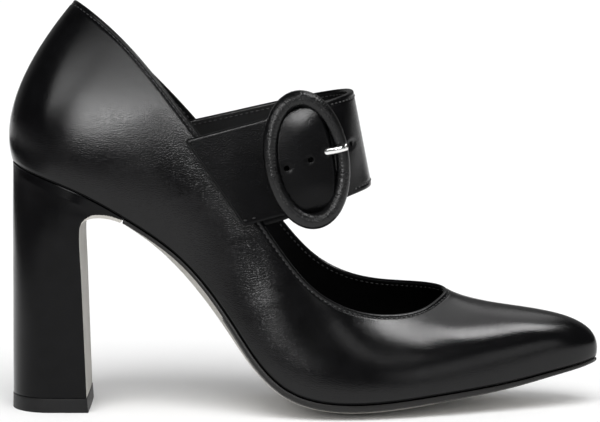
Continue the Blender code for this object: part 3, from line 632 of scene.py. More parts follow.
# %% Rounded plate
def rounded_plate(top, under, bulge, power=1.0, steps=6):
    """Points, quads and parts (0 top, 1 rim, 2 under) of a plate between two grids of one size."""
    columns, rows = top.shape[:2]
    count = columns * rows
    rim = [(i, 0) for i in range(columns)]
    rim += [(columns - 1, j) for j in range(1, rows)]
    rim += [(i, rows - 1) for i in range(columns - 2, -1, -1)]
    rim += [(0, j) for j in range(rows - 2, 0, -1)]
    i, j = np.array(rim).T
    middle = (top + under) / 2
    out = np.zeros((columns, rows, 3))
    out[0] += unit(middle[0] - middle[1] + 1e-9)
    out[-1] += unit(middle[-1] - middle[-2] + 1e-9)
    out[:, 0] += unit(middle[:, 0] - middle[:, 1] + 1e-9)
    out[:, -1] += unit(middle[:, -1] - middle[:, -2] + 1e-9)
    out = unit(out[i, j])
    half = (top - under)[i, j] / 2
    angle = np.linspace(0.0, math.pi, steps + 1)[1:-1]
    rise = np.sign(np.cos(angle)) * np.abs(np.cos(angle)) ** power
    reach = np.sin(angle) ** power * bulge
    arcs = middle[i, j][:, None] + half[:, None] * rise[None, :, None] + out[:, None] * reach[None, :, None]
    points = np.concatenate([top.reshape(-1, 3), under.reshape(-1, 3), arcs.reshape(-1, 3)])
    flat = i * rows + j
    arc_points = 2 * count + np.arange(arcs[..., 0].size).reshape(len(rim), -1)
    lines = np.column_stack([flat, arc_points, count + flat])
    after = np.roll(lines, -1, axis=0)
    sides = np.stack([lines[:, :-1], after[:, :-1], after[:, 1:], lines[:, 1:]], axis=-1).reshape(-1, 4)
    quads = np.concatenate([grid_quads(columns, rows), sides, grid_quads(columns, rows, start=count)])
    face_count = (columns - 1) * (rows - 1)
    parts = np.concatenate([np.zeros(face_count), np.ones(len(sides)), np.full(face_count, 2)]).astype(int)
    return points, quads, parts

# %% [markdown]
# ## Insole and outsole
# The insole is a thin board inside the shoe, covered in the same black lining. The outsole starts
# where the lip of the heel ends, follows the arch down to the ball and rises a little at the toe.
# Its edge is painted black, and its underside is pale. The ball is flattened where it stands.

# %% Insole and outsole
INSOLE_THICKNESS = 1.6
INSOLE_COLUMNS = 220
INSOLE_SHARE = 0.995     # of the room between the walls
INSOLE_BULGE = 0.1       # of the rim
LIP_END = 47.8           # where the heel's lip ends and the sole begins
SOLE_ACROSS = np.sin(np.linspace(-1.0, 1.0, 45) * math.pi / 2)
PAINT_FROM = -32.0       # forward of here the black paint of the edge turns under the sole
PAINT_WIDTH = 2.5
SOLE_STATIONS = 260
SOLE_INSET = (0.3, 0.5)  # from the feather edge, above and below
RIM_THIN = 0.2           # share of the sole's thickness that its rim loses
RIM_POWER = 12           # how close to the rim that stays
SOLE_BULGE = (0.4, 0.6)  # how far the rim stands out, and how square it is

insole_places = np.linspace(0.0005, 0.4995, INSOLE_COLUMNS)
insole_across = SOLE_ACROSS * INSOLE_SHARE
insole_top = last.bottom(insole_places, insole_across, WALL + GAP, INSOLE_THICKNESS)
insole_under = last.bottom(insole_places, insole_across, WALL + GAP, 0.0)
points, quads, _ = rounded_plate(insole_top, insole_under, INSOLE_BULGE)
add_piece(piece_mesh("lined_insole", points, quads, [lining_leather]), "insole")

sole_places = np.linspace(last.place_at(LIP_END + 2 * GAP - LENGTH / 2), 0.4997, SOLE_STATIONS)
sole_thickness = last.read_ring(sole_places)[:, SOLE, None, None]
sole_top = last.bottom(sole_places, SOLE_ACROSS, SOLE_INSET[0], -GAP)
sole_lean = last.seat_up(sole_top[:, 0, 0])[:, None, :]
rim_share = 1.0 - RIM_THIN * np.abs(SOLE_ACROSS)[None, :, None] ** RIM_POWER
sole_low = last.bottom(sole_places, SOLE_ACROSS, SOLE_INSET[1], -GAP)
sole_low -= sole_thickness * rim_share * sole_lean
sole_low[:, :, 2] = np.maximum(sole_low[:, :, 2], 0.0)
points, quads, parts = rounded_plate(sole_top, sole_low, *SOLE_BULGE)
centres = points[quads].mean(axis=1)
rim_line = np.concatenate([sole_low[:, 0], sole_low[:, -1]])
to_rim = np.array([np.min(np.linalg.norm(rim_line - centre, axis=1)) for centre in centres])
painted = (centres[:, 0] > PAINT_FROM) & (to_rim < PAINT_WIDTH)
sole_mesh = piece_mesh("edged_outsole", points, quads, [sole_edge, sole_under], (parts == 2) & ~painted)
add_piece(sole_mesh, "outsole")

# %% [markdown]
# ## The heel
# The heel is a block with a round back and a flat front, the breast. Near its top the front sweeps
# forward into a thin lip under the arch. The CAD levels are joined by a spline, so the breast turns
# into the lip in one smooth curve. A Bevel modifier then rounds the edges between side and breast.

# %% Heel levels
HEEL_COLUMNS = ("back", "back_z", "front", "front_z", "half", "round", "swell")
LIFT_LEVELS = {
    "floor":        (0.95, 0.0, 32.6, 0.0, 19.4, 16.0, 0.2),
    "lift top":     (1.10, 5.8, 32.2, 5.8, 19.5, 16.0, 0.2),
}
HEEL_LEVELS = {
    "heel foot":    (1.15, 6.1, 32.0, 6.1, 19.5, 16.0, 0.2),
    "lower shank":  (1.30, 30.0, 31.2, 30.0, 20.8, 17.0, 0.3),
    "middle":       (1.45, 54.0, 30.4, 54.0, 22.4, 19.0, 0.4),
    "upper shank":  (1.55, 75.0, 29.8, 72.0, 24.0, 21.5, 0.5),
    "breast turn":  (1.60, 82.0, 30.4, 76.6, 24.3, 22.5, 0.8),
    "breast arch":  (1.65, 86.5, 32.6, 78.6, 24.45, 23.3, 1.2),
    "lip root":     (1.70, 90.5, 37.0, 79.5, 24.55, 24.0, 1.6),
    "lip":          (1.75, 94.0, 42.0, 79.0, 24.65, 24.6, 1.8),
    "lip end":      (1.80, 97.0, 46.2, 77.7, 24.75, 25.2, 1.8),
}
TURN_STEPS = 26
SIDE_STEPS = 44
BREAST_POINTS = 19
BEVEL_ANGLE = 38.0       # degrees: sharper edges than this are rounded


def heel_section(back, back_z, front, front_z, half, depth):
    """Open section: along the outer side, round the back and along the inner side."""
    turn = np.linspace(0.0, math.pi / 2, TURN_STEPS)
    straight = np.linspace(0.0, 1.0, SIDE_STEPS)[1:]
    run = np.concatenate([depth * (1 - np.cos(turn)), depth + straight * (front - back - depth)])
    wide = np.concatenate([half * np.sin(turn), np.full(len(straight), half)])
    z = (back_z + run / (front - back) * (front_z - back_z)) * HEEL_HEIGHT / 100
    side = np.column_stack([back + run - LENGTH / 2, wide, z])
    return np.vstack([side[::-1] * (1, -1, 1), side[1:]])


def level_rings(levels, count):
    """Closed sections of a heel piece, from the lowest level to the highest."""
    rows = open_spline(np.array(list(levels.values()), float), np.linspace(0.0, 1.0, count))
    climb = np.gradient(rows[:, [HEEL_COLUMNS.index("front"), HEEL_COLUMNS.index("front_z")]], axis=0)
    forward = unit(np.column_stack([climb[:, 1], np.zeros(count), -climb[:, 0]]))
    across = np.linspace(0.0, 1.0, BREAST_POINTS + 2)[1:-1, None]
    rings = []
    for (*sizes, swell), ahead in zip(rows, forward):
        section = heel_section(*sizes)
        line = section[-1] + (section[0] - section[-1]) * across
        rings.append(np.vstack([section, line + 4 * across * (1 - across) * swell * ahead]))
    return rings


def level_cap(count, start):
    """Faces across a level section, in strips from the outer to the inner side."""
    strips = [(start + k, start + k + 1, start + count - 2 - k, start + count - 1 - k)
              for k in range(count // 2)]
    faces = [tuple(dict.fromkeys(strip)) for strip in strips]
    faces.append((start, start + count - 1, *(start + count + j for j in range(BREAST_POINTS))))
    return faces


def workpiece(mesh, ending):
    """Object that holds a mesh while modifiers work on it."""
    holder = bpy.data.objects.new(mesh.name + ending, mesh)
    bpy.context.scene.collection.objects.link(holder)
    return holder


def finished_mesh(holder):
    """Plain mesh that a workpiece's modifiers make. The workpiece and its own mesh are removed."""
    view = holder.evaluated_get(bpy.context.evaluated_depsgraph_get())
    result = bpy.data.meshes.new_from_object(view)
    raw = holder.data
    name = raw.name
    bpy.data.objects.remove(holder)
    bpy.data.meshes.remove(raw)
    result.name = name
    return result


def soften(mesh, width):
    """The same mesh with rounded edges, from a Bevel modifier."""
    holder = workpiece(mesh, "_raw")
    bevel = holder.modifiers.new("edge", "BEVEL")
    bevel.width = width * MM
    bevel.segments = 3
    bevel.limit_method = "ANGLE"
    bevel.angle_limit = math.radians(BEVEL_ANGLE)
    bevel.use_clamp_overlap = True
    return finished_mesh(holder)

# %% [markdown]
# The top of the heel follows the bottom of the last, so it is a grid of its own that closes the
# loft. The faces between the two front corners are the breast and the lip's underside, and they take
# the pale finish of the sole.

# %% Heel and top piece
SECTION_COUNT = 2 * (TURN_STEPS + SIDE_STEPS - 1) - 1
HEEL_RINGS = 120
COVER_EDGE = 1.3         # the pale cover's cut edge, which shows along the lip
COVER_FROM = -89.0       # X where that edge begins
COVER_GROWS = 5.0        # millimetres in which it reaches its full height
COVER_ABOVE = 70.0
SEAT_ROWS = 10
HEEL_BEVEL = 0.45
LIFT_RINGS = 6
LIFT_BEVEL = 0.35
SEAT_PULL = (1.0, 0.975, 1.0)   # the heel's top stays a little inside the upper's edge

rings = level_rings(HEEL_LEVELS, HEEL_RINGS)
side = rings[-1][:SECTION_COUNT // 2 + 1]
side_share = (side[:, 0] - side[-1, 0]) / (side[0, 0] - side[-1, 0])
heel_back = last.feather(np.zeros(1))[0, 0]
seat_places = last.place_at(heel_back + side_share * (LIP_END - LENGTH / 2 - heel_back))
seat = last.bottom(seat_places, np.linspace(-1.0, 1.0, BREAST_POINTS + 2), 0.0, -GAP) * SEAT_PULL
seat_ring = np.vstack([seat[:, 0], seat[-2::-1, -1], seat[0, -2:0:-1]])
lip_ring = rings[-1]
rings += [lip_ring + (seat_ring - lip_ring) * share for share in np.linspace(0.0, 1.0, SEAT_ROWS + 1)[1:]]
ring_count = len(seat_ring)
loft = grid_quads(len(rings), ring_count, closed_rows=True)
pale = np.tile(np.arange(ring_count) >= SECTION_COUNT - 1, len(rings) - 1)
pale[-SEAT_ROWS * ring_count:] = False
cap = level_cap(SECTION_COUNT, 0)
top_quads = grid_quads(len(seat), seat.shape[1], start=ring_count * len(rings))
faces = [*loft, *cap, *top_quads]
heel_points = np.concatenate(rings + [seat.reshape(-1, 3)])
lip_line = np.array([ring[k] for ring in rings[:HEEL_RINGS] for k in (0, SECTION_COUNT - 1)])
loft_centres = heel_points[loft].mean(axis=1)
to_lip = np.array([np.min(np.linalg.norm(lip_line - centre, axis=1)) for centre in loft_centres])
grown = np.clip((loft_centres[:, 0] - COVER_FROM) / COVER_GROWS, 0.0, 1.0)
pale |= (to_lip < COVER_EDGE * grown) & (loft_centres[:, 2] > COVER_ABOVE)
heel_parts = np.concatenate([pale, np.zeros(len(cap) + len(top_quads))]).astype(int)
heel_mesh = piece_mesh("covered_heel", heel_points, faces, [heel_leather, sole_under], heel_parts)
add_piece(soften(heel_mesh, HEEL_BEVEL), "heel_block")

lift_rings = level_rings(LIFT_LEVELS, LIFT_RINGS)
faces = [*grid_quads(len(lift_rings), ring_count, closed_rows=True), *level_cap(SECTION_COUNT, 0)]
faces += level_cap(SECTION_COUNT, ring_count * (len(lift_rings) - 1))
lift_mesh = piece_mesh("rubber_top_piece", np.concatenate(lift_rings), faces, [lift_rubber])
add_piece(soften(lift_mesh, LIFT_BEVEL), "heel_top_lift")

# %% [markdown]
# ## The strap's own frame
# The strap climbs from the quarters to the instep, so it has a frame of its own: run goes up the
# strap to the front of the instep, side is the shoe's Y and across goes from its lower edge to its
# upper one. Straps, ring, bar, prong and holes are all placed in that frame, and one function brings
# them into the shoe.

# %% Strap frame
STRAP_FRONT_X = 23.9
STRAP_FRONT_Z = INSTEP_HEIGHT - 18.0
STRAP_RISE = 14.7        # degrees
STRAP_FLARE = 0.065
STRAP_HALF_WIDTH = 19.5
STRAP_THICKNESS = 2.4
STRAP_END_SLANT = 0.42
BUCKLE_RUN = -23.2
BUCKLE_SIDE = -36.2
BUCKLE_TURN = 10.0       # degrees
BUCKLE_HALF_LONG = 24.4
BUCKLE_HALF_SHORT = 14.4
STRAP_COLUMNS = ("run", "side", "tilt", "pinch", "lift")
STRAP_PATH = {
    "free end":         (-69.2, -33.6, 0.05, 0.0, 0.0),
    "outer quarter":    (-52.0, -33.1, 0.04, 0.0, 0.0),
    "left rim":         (-38.0, -32.6, 0.0, 18.0, 0.0),
    "bar":              (-23.2, -34.5, 0.0, 0.0, 0.0),
    "right rim":        (-9.0, -26.9, 0.0, -16.0, 0.0),
    "outer corner":     (-3.2, -15.0, 0.0, 0.0, 0.0),
    "front":            (-1.2, -2.5, 0.0, 0.0, 0.0),
    "inner corner":     (-4.6, 12.5, 0.0, 0.0, 0.1),
    "inner side":       (-17.0, 24.0, 0.0, 0.0, 0.4),
    "topline":          (-36.0, 26.2, 0.0, 0.0, 1.1),
    "inner quarter":    (-52.0, 24.7, 0.0, 0.0, 1.8),
    "root":             (-71.0, 21.5, 0.02, 0.0, 2.8),
}


def in_shoe(points):
    """Points given as run, side and across, in the shoe's own frame."""
    run, side, across = np.moveaxis(np.asarray(points, float), -1, 0)
    run = run + STRAP_FLARE * across
    rise = math.radians(STRAP_RISE)
    x = STRAP_FRONT_X + run * math.cos(rise) - across * math.sin(rise)
    z = STRAP_FRONT_Z + run * math.sin(rise) + across * math.cos(rise)
    return np.stack([x, side, z], axis=-1)


def strap_line(across, count, trim):
    """The strap's middle line at one distance across, from free end to root."""
    run, side, tilt, pinch, lift = (column(STRAP_PATH, STRAP_COLUMNS, name) for name in STRAP_COLUMNS)
    bend = 1.0 - math.sqrt(1.0 - (across / BUCKLE_HALF_LONG) ** 2)
    rows = np.column_stack([run + pinch * bend, side + tilt * across, across + lift])
    return even_steps(rows, count, trim + STRAP_END_SLANT * (STRAP_HALF_WIDTH - across))

# %% [markdown]
# ## The instep strap
# The strap is folded leather of 2.4 mm. It starts free on the outer quarter, runs under the left rim
# of the buckle, swells through its opening like a pad, dives under the right rim and goes round the
# instep to the inner quarter. Its middle line is read at many distances across, which gives a grid.
# Inside the ring the grid is a little wider, as leather is where it is pushed together.

# %% Strap grid
STRAP_ALONG = 400
STRAP_ROWS = 84
STRAP_EDGE = 0.9         # how far the rounded rim stands out
PAD_REACH = 8.0          # from the bar, along the strap, to where the widening has mostly faded
PAD_SPREAD = 0.085       # share by which the strap widens in the ring, at its upper edge
PAD_SPREAD_LOW = 0.125   # the same at its lower edge

strap_widths = np.linspace(-1.0, 1.0, STRAP_ROWS) * (STRAP_HALF_WIDTH - STRAP_EDGE)
strap_rows = np.stack([strap_line(across, STRAP_ALONG, STRAP_EDGE) for across in strap_widths], axis=1)
strap_run = strap_rows[..., 0]
outer_part = np.arange(STRAP_ALONG)[:, None] < np.argmax(strap_run, axis=0)[None, :]
in_ring = np.where(outer_part, np.exp(-((strap_run - BUCKLE_RUN) / PAD_REACH) ** 2), 0.0)
pad_spread = np.where(strap_widths > 0.0, PAD_SPREAD, PAD_SPREAD_LOW) * in_ring
strap_rows[..., 2] += strap_widths * pad_spread
strap_across = strap_widths * (1 + pad_spread)
strap_grid = in_shoe(strap_rows)
strap_normals = grid_normals(strap_grid)
strap_outside = strap_grid + strap_normals * STRAP_THICKNESS / 2
strap_inside = strap_grid - strap_normals * STRAP_THICKNESS / 2
print("strap runs from", strap_run.min().round(1), "to", strap_run.max().round(1), "mm")

# %% [markdown]
# In the ring the strap's outer face rises to a pad that fills the opening. It is a low dome with a
# rounded shoulder towards the toe, and it bends in at its upper and lower ends. Behind the ring's tube
# the pad stays back, so that the two never meet.

# %% Pad in the ring
PAD_HALF = (11.4, 30.0)  # half its length along the strap, towards the toe, and across it
PAD_SIDE = -36.2         # where its rim lies at the bar
PAD_TURN = 0.08          # how it falls back towards the toe
PAD_BULGE = 1.5          # how far its middle stands out
PAD_SHOULDER = 0.20      # share of its half length that is rounded off
PAD_END = 1.05           # where it has faded out, as a share of the ring's oval
PAD_EASE = 0.2           # share of that oval in which it fades
PAD_CLEARANCE = 0.25     # between the pad and the back of the ring
PAD_FALL = 2.0           # how far its upper and lower ends bend in
PAD_FALL_FROM = 9.0      # distance across where the bend begins
PAD_FALL_OVER = 12.0     # and the distance to its full depth
TUBE_END = 3.25          # radius of the ring at its two ends


def soft_step(share):
    """Smooth step from 0 to 1."""
    share = np.clip(share, 0.0, 1.0)
    return share ** 2 * (3.0 - 2.0 * share)


forward = strap_run - BUCKLE_RUN
oval = np.hypot(np.maximum(forward, 0.0) / PAD_HALF[0], strap_across / PAD_HALF[1])
ring_oval = np.hypot(forward / BUCKLE_HALF_SHORT, strap_across / BUCKLE_HALF_LONG)
risen = soft_step((1.0 - oval) / PAD_SHOULDER) * soft_step((PAD_END - ring_oval) / PAD_EASE)
ring_slope = np.hypot(forward / BUCKLE_HALF_SHORT ** 2, strap_across / BUCKLE_HALF_LONG ** 2) / ring_oval
from_ring = np.abs(ring_oval - 1.0) / ring_slope
ring_back = BUCKLE_SIDE + forward * math.tan(math.radians(BUCKLE_TURN)) + PAD_CLEARANCE
ring_back += np.sqrt(np.maximum(TUBE_END ** 2 - from_ring ** 2, 0.0))
pad_face = PAD_SIDE + PAD_TURN * forward - PAD_BULGE * np.maximum(1.0 - ring_oval ** 2, 0.0)
pad_face = np.where(from_ring < TUBE_END, np.maximum(pad_face, ring_back), pad_face)
pad_rise = np.where(outer_part, risen * np.minimum(pad_face - strap_outside[..., 1], 0.0), 0.0)
pad_fall = np.clip((np.abs(strap_across) - PAD_FALL_FROM) / PAD_FALL_OVER, 0.0, 1.0) ** 2
strap_outside[..., 1] += pad_rise + PAD_FALL * in_ring * pad_fall
print("pad stands up to", (-pad_rise.min()).round(1), "mm above the flat strap")

# %% [markdown]
# Fine relief comes last. A punch draws the leather in, so there is a dimple round each hole, and a
# trough lies under each row of stitches.

# %% Dimples and seam troughs
SEAM_INSET = 2.3         # from the strap's edge to its stitches
SEAM_DEPTH = 0.12
SEAM_WIDTH = 0.45
SEWN_FROM = 0.34         # share of the strap's length where its seams begin
SEWN_EASE = 0.02         # share in which their trough gets its full depth
HOLE_RADIUS = 1.1
DIMPLE_DEPTH = 0.22
DIMPLE_WIDTH = 0.7
HOLES = {
    "rear hole":        (-30.6, -1.0),
    "middle hole":      (-22.4, -0.1),
    "front hole":       (-5.8, 0.3),
}
PRONG_EXIT = (-15.6, 1.0)

strap_relief = np.zeros(strap_run.shape)
for run, across in [*HOLES.values(), PRONG_EXIT]:
    away = np.hypot(strap_run - run, strap_across - across)
    dimple = -DIMPLE_DEPTH * np.exp(-(np.maximum(away - HOLE_RADIUS, 0.0) / DIMPLE_WIDTH) ** 2)
    strap_relief += np.where(outer_part, dimple, 0.0)
sewn = np.clip((np.arange(STRAP_ALONG)[:, None] / STRAP_ALONG - SEWN_FROM) / SEWN_EASE, 0.0, 1.0)
from_edge = STRAP_HALF_WIDTH - np.abs(strap_widths)[None, :]
strap_relief -= SEAM_DEPTH * np.exp(-((from_edge - SEAM_INSET) / SEAM_WIDTH) ** 2) * sewn
strap_outside += grid_normals(strap_outside) * strap_relief[..., None]
print("strap relief in mm:", strap_relief.min().round(2), "to", strap_relief.max().round(2))

# %% [markdown]
# Real holes go right through, so they are cut with Boolean modifiers. A punch is a short cylinder
# square to the strap. The prong's own hole is cut along the prong's path, with a little room.

# %% Punches
ROD_RINGS = 4


def rings_round(path, first, second, radii, sides):
    """Rings of points round a path, by two directions square to it."""
    turn = np.linspace(0.0, 2 * math.pi, sides, endpoint=False)[None, :, None]
    return path[:, None] + radii * (np.cos(turn) * first[:, None] + np.sin(turn) * second[:, None])


def capped_faces(count, sides):
    """Faces of a row of rings, with both ends closed."""
    ends = [list(range(sides))[::-1], list(range((count - 1) * sides, count * sides))]
    return grid_quads(count, sides, closed_rows=True).tolist() + ends


def tube_mesh(name, path, radii, materials=(), sides=24, broad=1.0):
    """Tube along a path, with rounded ends where the radii shrink; broad widens it across the strap."""
    path = np.asarray(path, float)
    radii = np.broadcast_to(radii, len(path))[:, None, None]
    broad = np.broadcast_to(broad, len(path))[:, None]
    along = unit(np.gradient(path, axis=0))
    across_way = in_shoe([[0.0, 0.0, 1.0]])[0] - in_shoe([[0.0, 0.0, 0.0]])[0]
    first = unit(np.cross(along, across_way))
    rings = rings_round(path, first, np.cross(first, along) * broad, radii, sides)
    return piece_mesh(name, rings, capped_faces(len(path), sides), materials)


def rod(name, start, end, radius):
    """Straight punch with flat ends."""
    steps = np.linspace(0.0, 1.0, ROD_RINGS)[:, None]
    return tube_mesh(name, start + (end - start) * steps, radius)


def punch(mesh, cutters):
    """The mesh with the cutters' forms taken out of it."""
    holder = workpiece(mesh, "_whole")
    tools = [workpiece(cutter, "_punch") for cutter in cutters]
    for tool in tools:
        cut = holder.modifiers.new("punch", "BOOLEAN")
        cut.operation = "DIFFERENCE"
        cut.solver = "EXACT"
        cut.object = tool
    result = finished_mesh(holder)
    for tool, cutter in zip(tools, cutters):
        bpy.data.objects.remove(tool)
        bpy.data.meshes.remove(cutter)
    return result


def strap_point(run, across):
    """Place and facing of the strap's outer face at a run and an across."""
    away = np.where(outer_part, np.hypot(strap_run - run, strap_across - across), 1e9)
    k = np.unravel_index(np.argmin(away), away.shape)
    return strap_grid[k], strap_normals[k]

# %% [markdown]
# ## Bar, prong and ring
# The prong is a bent steel pin: it loops round the bar, comes up through the strap's hole and rests
# on the right rim. Its path is a loop and then a spline, and its tip narrows to a rounded end.

# %% Paths of the buckle
BAR_RADIUS = 1.4
BAR_SIDE = -29.9
BAR_HALF_LENGTH = 21.8
BAR_STRAIGHT = 16.0
BAR_BOW = 2.9
PRONG_RADIUS = 0.9
PRONG_ACROSS = 1.0
PRONG_TURN = (-327.0, -57.0)   # degrees round the bar
PRONG_PATH = {
    "under strap":  (-19.2, -29.8),
    "through hole": (-16.6, -34.6),
    "before rim":   (-12.9, -36.8),
    "over rim":     (-8.8, -37.7),
    "tip":          (-6.2, -37.3),
}
PRONG_BROAD = 1.65       # the blade is broader than it is thick
LOOP_STEPS = 40
BLADE_STEPS = 60
BROAD_STEPS = 18         # steps of the blade in which it broadens
PRONG_SIDES = 28
TIP_ROUND = 1.1          # length of the rounded tip
LOOP_ROUND = 0.6         # and of the loop's rounded end
LEAST_ROUND = 0.02       # keeps the ends' last rings from shrinking to a point
BAR_RINGS = 80
BAR_SIDES = 24


def at_across(line, across):
    """A line of run and side, placed at one distance across the strap."""
    return np.column_stack([line, np.full(len(line), across)])


def rounded_end(reach, length):
    """Share of the full radius at a distance from a rounded end."""
    from_round = np.clip(1.0 - reach / length, 0.0, 1.0)
    return np.sqrt(np.clip(1.0 - from_round ** 2, LEAST_ROUND, 1.0))


loop_radius = BAR_RADIUS + GAP + PRONG_RADIUS
loop_turn = np.radians(np.linspace(*PRONG_TURN, LOOP_STEPS))
loop = np.column_stack([BUCKLE_RUN + loop_radius * np.cos(loop_turn),
                        BAR_SIDE - loop_radius * np.sin(loop_turn)])
blade = even_steps(np.vstack([loop[-1:], np.array(list(PRONG_PATH.values()))]), BLADE_STEPS, 0.0)
blade_path = in_shoe(at_across(blade, PRONG_ACROSS))
prong_path = np.vstack([in_shoe(at_across(loop, PRONG_ACROSS)), blade_path[1:]])
prong_reach = np.concatenate([[0.0], np.cumsum(np.linalg.norm(np.diff(prong_path, axis=0), axis=1))])
to_tip = prong_reach[-1] - prong_reach
prong_radii = PRONG_RADIUS * rounded_end(to_tip, TIP_ROUND) * rounded_end(prong_reach, LOOP_ROUND)
broadens = [LOOP_STEPS, LOOP_STEPS + BROAD_STEPS]
broad = np.interp(np.arange(len(prong_path)), broadens, [1.0, PRONG_BROAD])
prong_mesh = tube_mesh("steel_prong", prong_path, prong_radii, [bright_steel], PRONG_SIDES, broad)
add_piece(prong_mesh, "buckle_prong", angle=60.0)

bar_across = np.linspace(-BAR_HALF_LENGTH, BAR_HALF_LENGTH, BAR_RINGS)
bar_bend = np.clip((np.abs(bar_across) - BAR_STRAIGHT) / (BAR_HALF_LENGTH - BAR_STRAIGHT), 0.0, 1.0)
bar_side = BAR_SIDE - BAR_BOW * bar_bend ** 2
bar_path = in_shoe(np.column_stack([np.full(BAR_RINGS, BUCKLE_RUN), bar_side, bar_across]))
bar_along = unit(np.gradient(bar_path, axis=0))
bar_first = unit(np.cross(bar_along, (0.0, 1.0, 0.0)))
bar_rings = rings_round(bar_path, bar_first, np.cross(bar_first, bar_along), BAR_RADIUS, BAR_SIDES)
bar_mesh = piece_mesh("steel_bar", bar_rings, capped_faces(BAR_RINGS, BAR_SIDES), [dark_steel])
add_piece(bar_mesh, "buckle_bar", angle=60.0)

# %% [markdown]
# The ring is wound with thin leather. Leather that is pulled round a curve gathers into fine radial
# wrinkles, most of all at the two tight ends and on the inner side. Each wrinkle is a shallow trough
# across the tube with a place, width, depth and reach of its own, drawn with a fixed seed, so that
# every run gives the same ring.

# %% Leather-covered ring
RING_STEPS = 620
RING_SIDES = 56
TUBE_SIDE = 2.65         # radius of the ring at its long sides
WRINKLES = 112
WRINKLE_SEED = 11
WRINKLE_SHIFT = 0.25     # share of the pitch that a wrinkle may lie off its place
WRINKLE_WIDTHS = (0.014, 0.021)   # radians along the ring
WRINKLE_DEPTHS = (0.10, 0.20)     # millimetres, at the tight ends
WRINKLE_FACING = 0.6     # radians that its deepest point may lie off the inner side
WRINKLE_LEAN = 0.02      # radians that it may lean along the ring
LONG_SIDE_SHARE = 0.5    # of its depth that is left at the long sides
OUTER_SHARE = 0.35       # of its depth that is left on the ring's outer side

ring_angle = np.arange(RING_STEPS) / RING_STEPS * 2 * math.pi
ring_forward = BUCKLE_HALF_SHORT * np.cos(ring_angle)
ring_turn = math.radians(BUCKLE_TURN)
ring_path = in_shoe(np.column_stack([
    BUCKLE_RUN + ring_forward * math.cos(ring_turn), BUCKLE_SIDE + ring_forward * math.sin(ring_turn),
    BUCKLE_HALF_LONG * np.sin(ring_angle)]))
ring_radii = TUBE_SIDE + (TUBE_END - TUBE_SIDE) * np.sin(ring_angle) ** 2
ring_along = unit(np.roll(ring_path, -1, axis=0) - np.roll(ring_path, 1, axis=0))
ring_away = unit(ring_path - ring_path.mean(axis=0))
ring_face = unit(np.cross(ring_along, ring_away))
ring_face *= np.sign(-ring_face[:, 1:2])
ring_out = np.cross(ring_face, ring_along)
ring_out *= np.sign(np.sum(ring_out * ring_away, axis=1, keepdims=True))

around = np.linspace(0.0, 2 * math.pi, RING_SIDES, endpoint=False)
draw = np.random.default_rng(WRINKLE_SEED)
wrinkle_relief = np.zeros((RING_STEPS, RING_SIDES))
for k in range(WRINKLES):
    centre = (k + draw.uniform(-WRINKLE_SHIFT, WRINKLE_SHIFT)) / WRINKLES * 2 * math.pi
    tight = LONG_SIDE_SHARE + (1 - LONG_SIDE_SHARE) * abs(math.sin(centre)) ** 3
    width = draw.uniform(*WRINKLE_WIDTHS)
    depth = draw.uniform(*WRINKLE_DEPTHS) * tight
    facing = math.pi + draw.uniform(-WRINKLE_FACING, WRINKLE_FACING)
    lean = draw.uniform(-WRINKLE_LEAN, WRINKLE_LEAN)
    away = np.angle(np.exp(1j * (ring_angle[:, None] - centre - lean * np.sin(around)[None, :])))
    inwards = (0.5 + 0.5 * np.cos(around - facing))[None, :] ** 1.5
    inner = OUTER_SHARE + (1 - OUTER_SHARE) * inwards
    wrinkle_relief -= depth * inner * np.exp(-(away / width) ** 2)
ring_surface = ring_path[:, None] + (ring_radii[:, None] + wrinkle_relief)[..., None] * (
    np.cos(around)[None, :, None] * ring_out[:, None] + np.sin(around)[None, :, None] * ring_face[:, None])
ring_quads = grid_quads(RING_STEPS, RING_SIDES, True, True)
ring_mesh = piece_mesh("leather_ring", ring_surface, ring_quads, [wrap_leather])
add_piece(ring_mesh, "buckle_frame", angle=80.0)
print("wrinkles are up to", (-wrinkle_relief.min()).round(2), "mm deep")

# %% [markdown]
# The covering closes along the outer edge of the ring, at the back. Its folded edge shows as a thin
# line beside the rim, so it is a fine bead that follows the ring.

# %% Edge of the ring's covering
BEAD_RADIUS = 0.32
BEAD_SIDES = 10
BEAD_RISE = 0.1          # of its middle above the ring's surface
BEAD_TURN = math.radians(-38.0)

bead_way = math.cos(BEAD_TURN) * ring_out + math.sin(BEAD_TURN) * ring_face
bead_path = ring_path + (ring_radii + BEAD_RISE)[:, None] * bead_way
bead_rings = rings_round(bead_path, ring_out, ring_face, BEAD_RADIUS, BEAD_SIDES)
bead_quads = grid_quads(RING_STEPS, BEAD_SIDES, True, True)
bead_mesh = piece_mesh("ring_edge_bead", bead_rings, bead_quads, [wrap_leather])
add_piece(bead_mesh)

# %% [markdown]
# Now the strap's two faces become a plate with a round rim, and the holes are cut. The strap's back is
# lining. The cut edge at its free end is painted dead black, as a maker does to hide the raw layers, and
# that matte black also stands in for the shadow line beside the free end: painted shade. So the faces of
# the rim that lie close to that end get a finish of their own.

# %% Strap with its holes
FREE_END_REACH = 0.1     # beyond half the strap's thickness, for faces that belong to its free end
STRAP_SQUARE = 0.8       # how square the rim is
PUNCH_DEPTH = 4.0        # behind the strap's middle
PUNCH_HEIGHT = 7.0       # and in front of it, clear of the pad
PRONG_ROOM = 0.3         # round the prong in its own hole
PRONG_HOLE_BROAD = 1.35

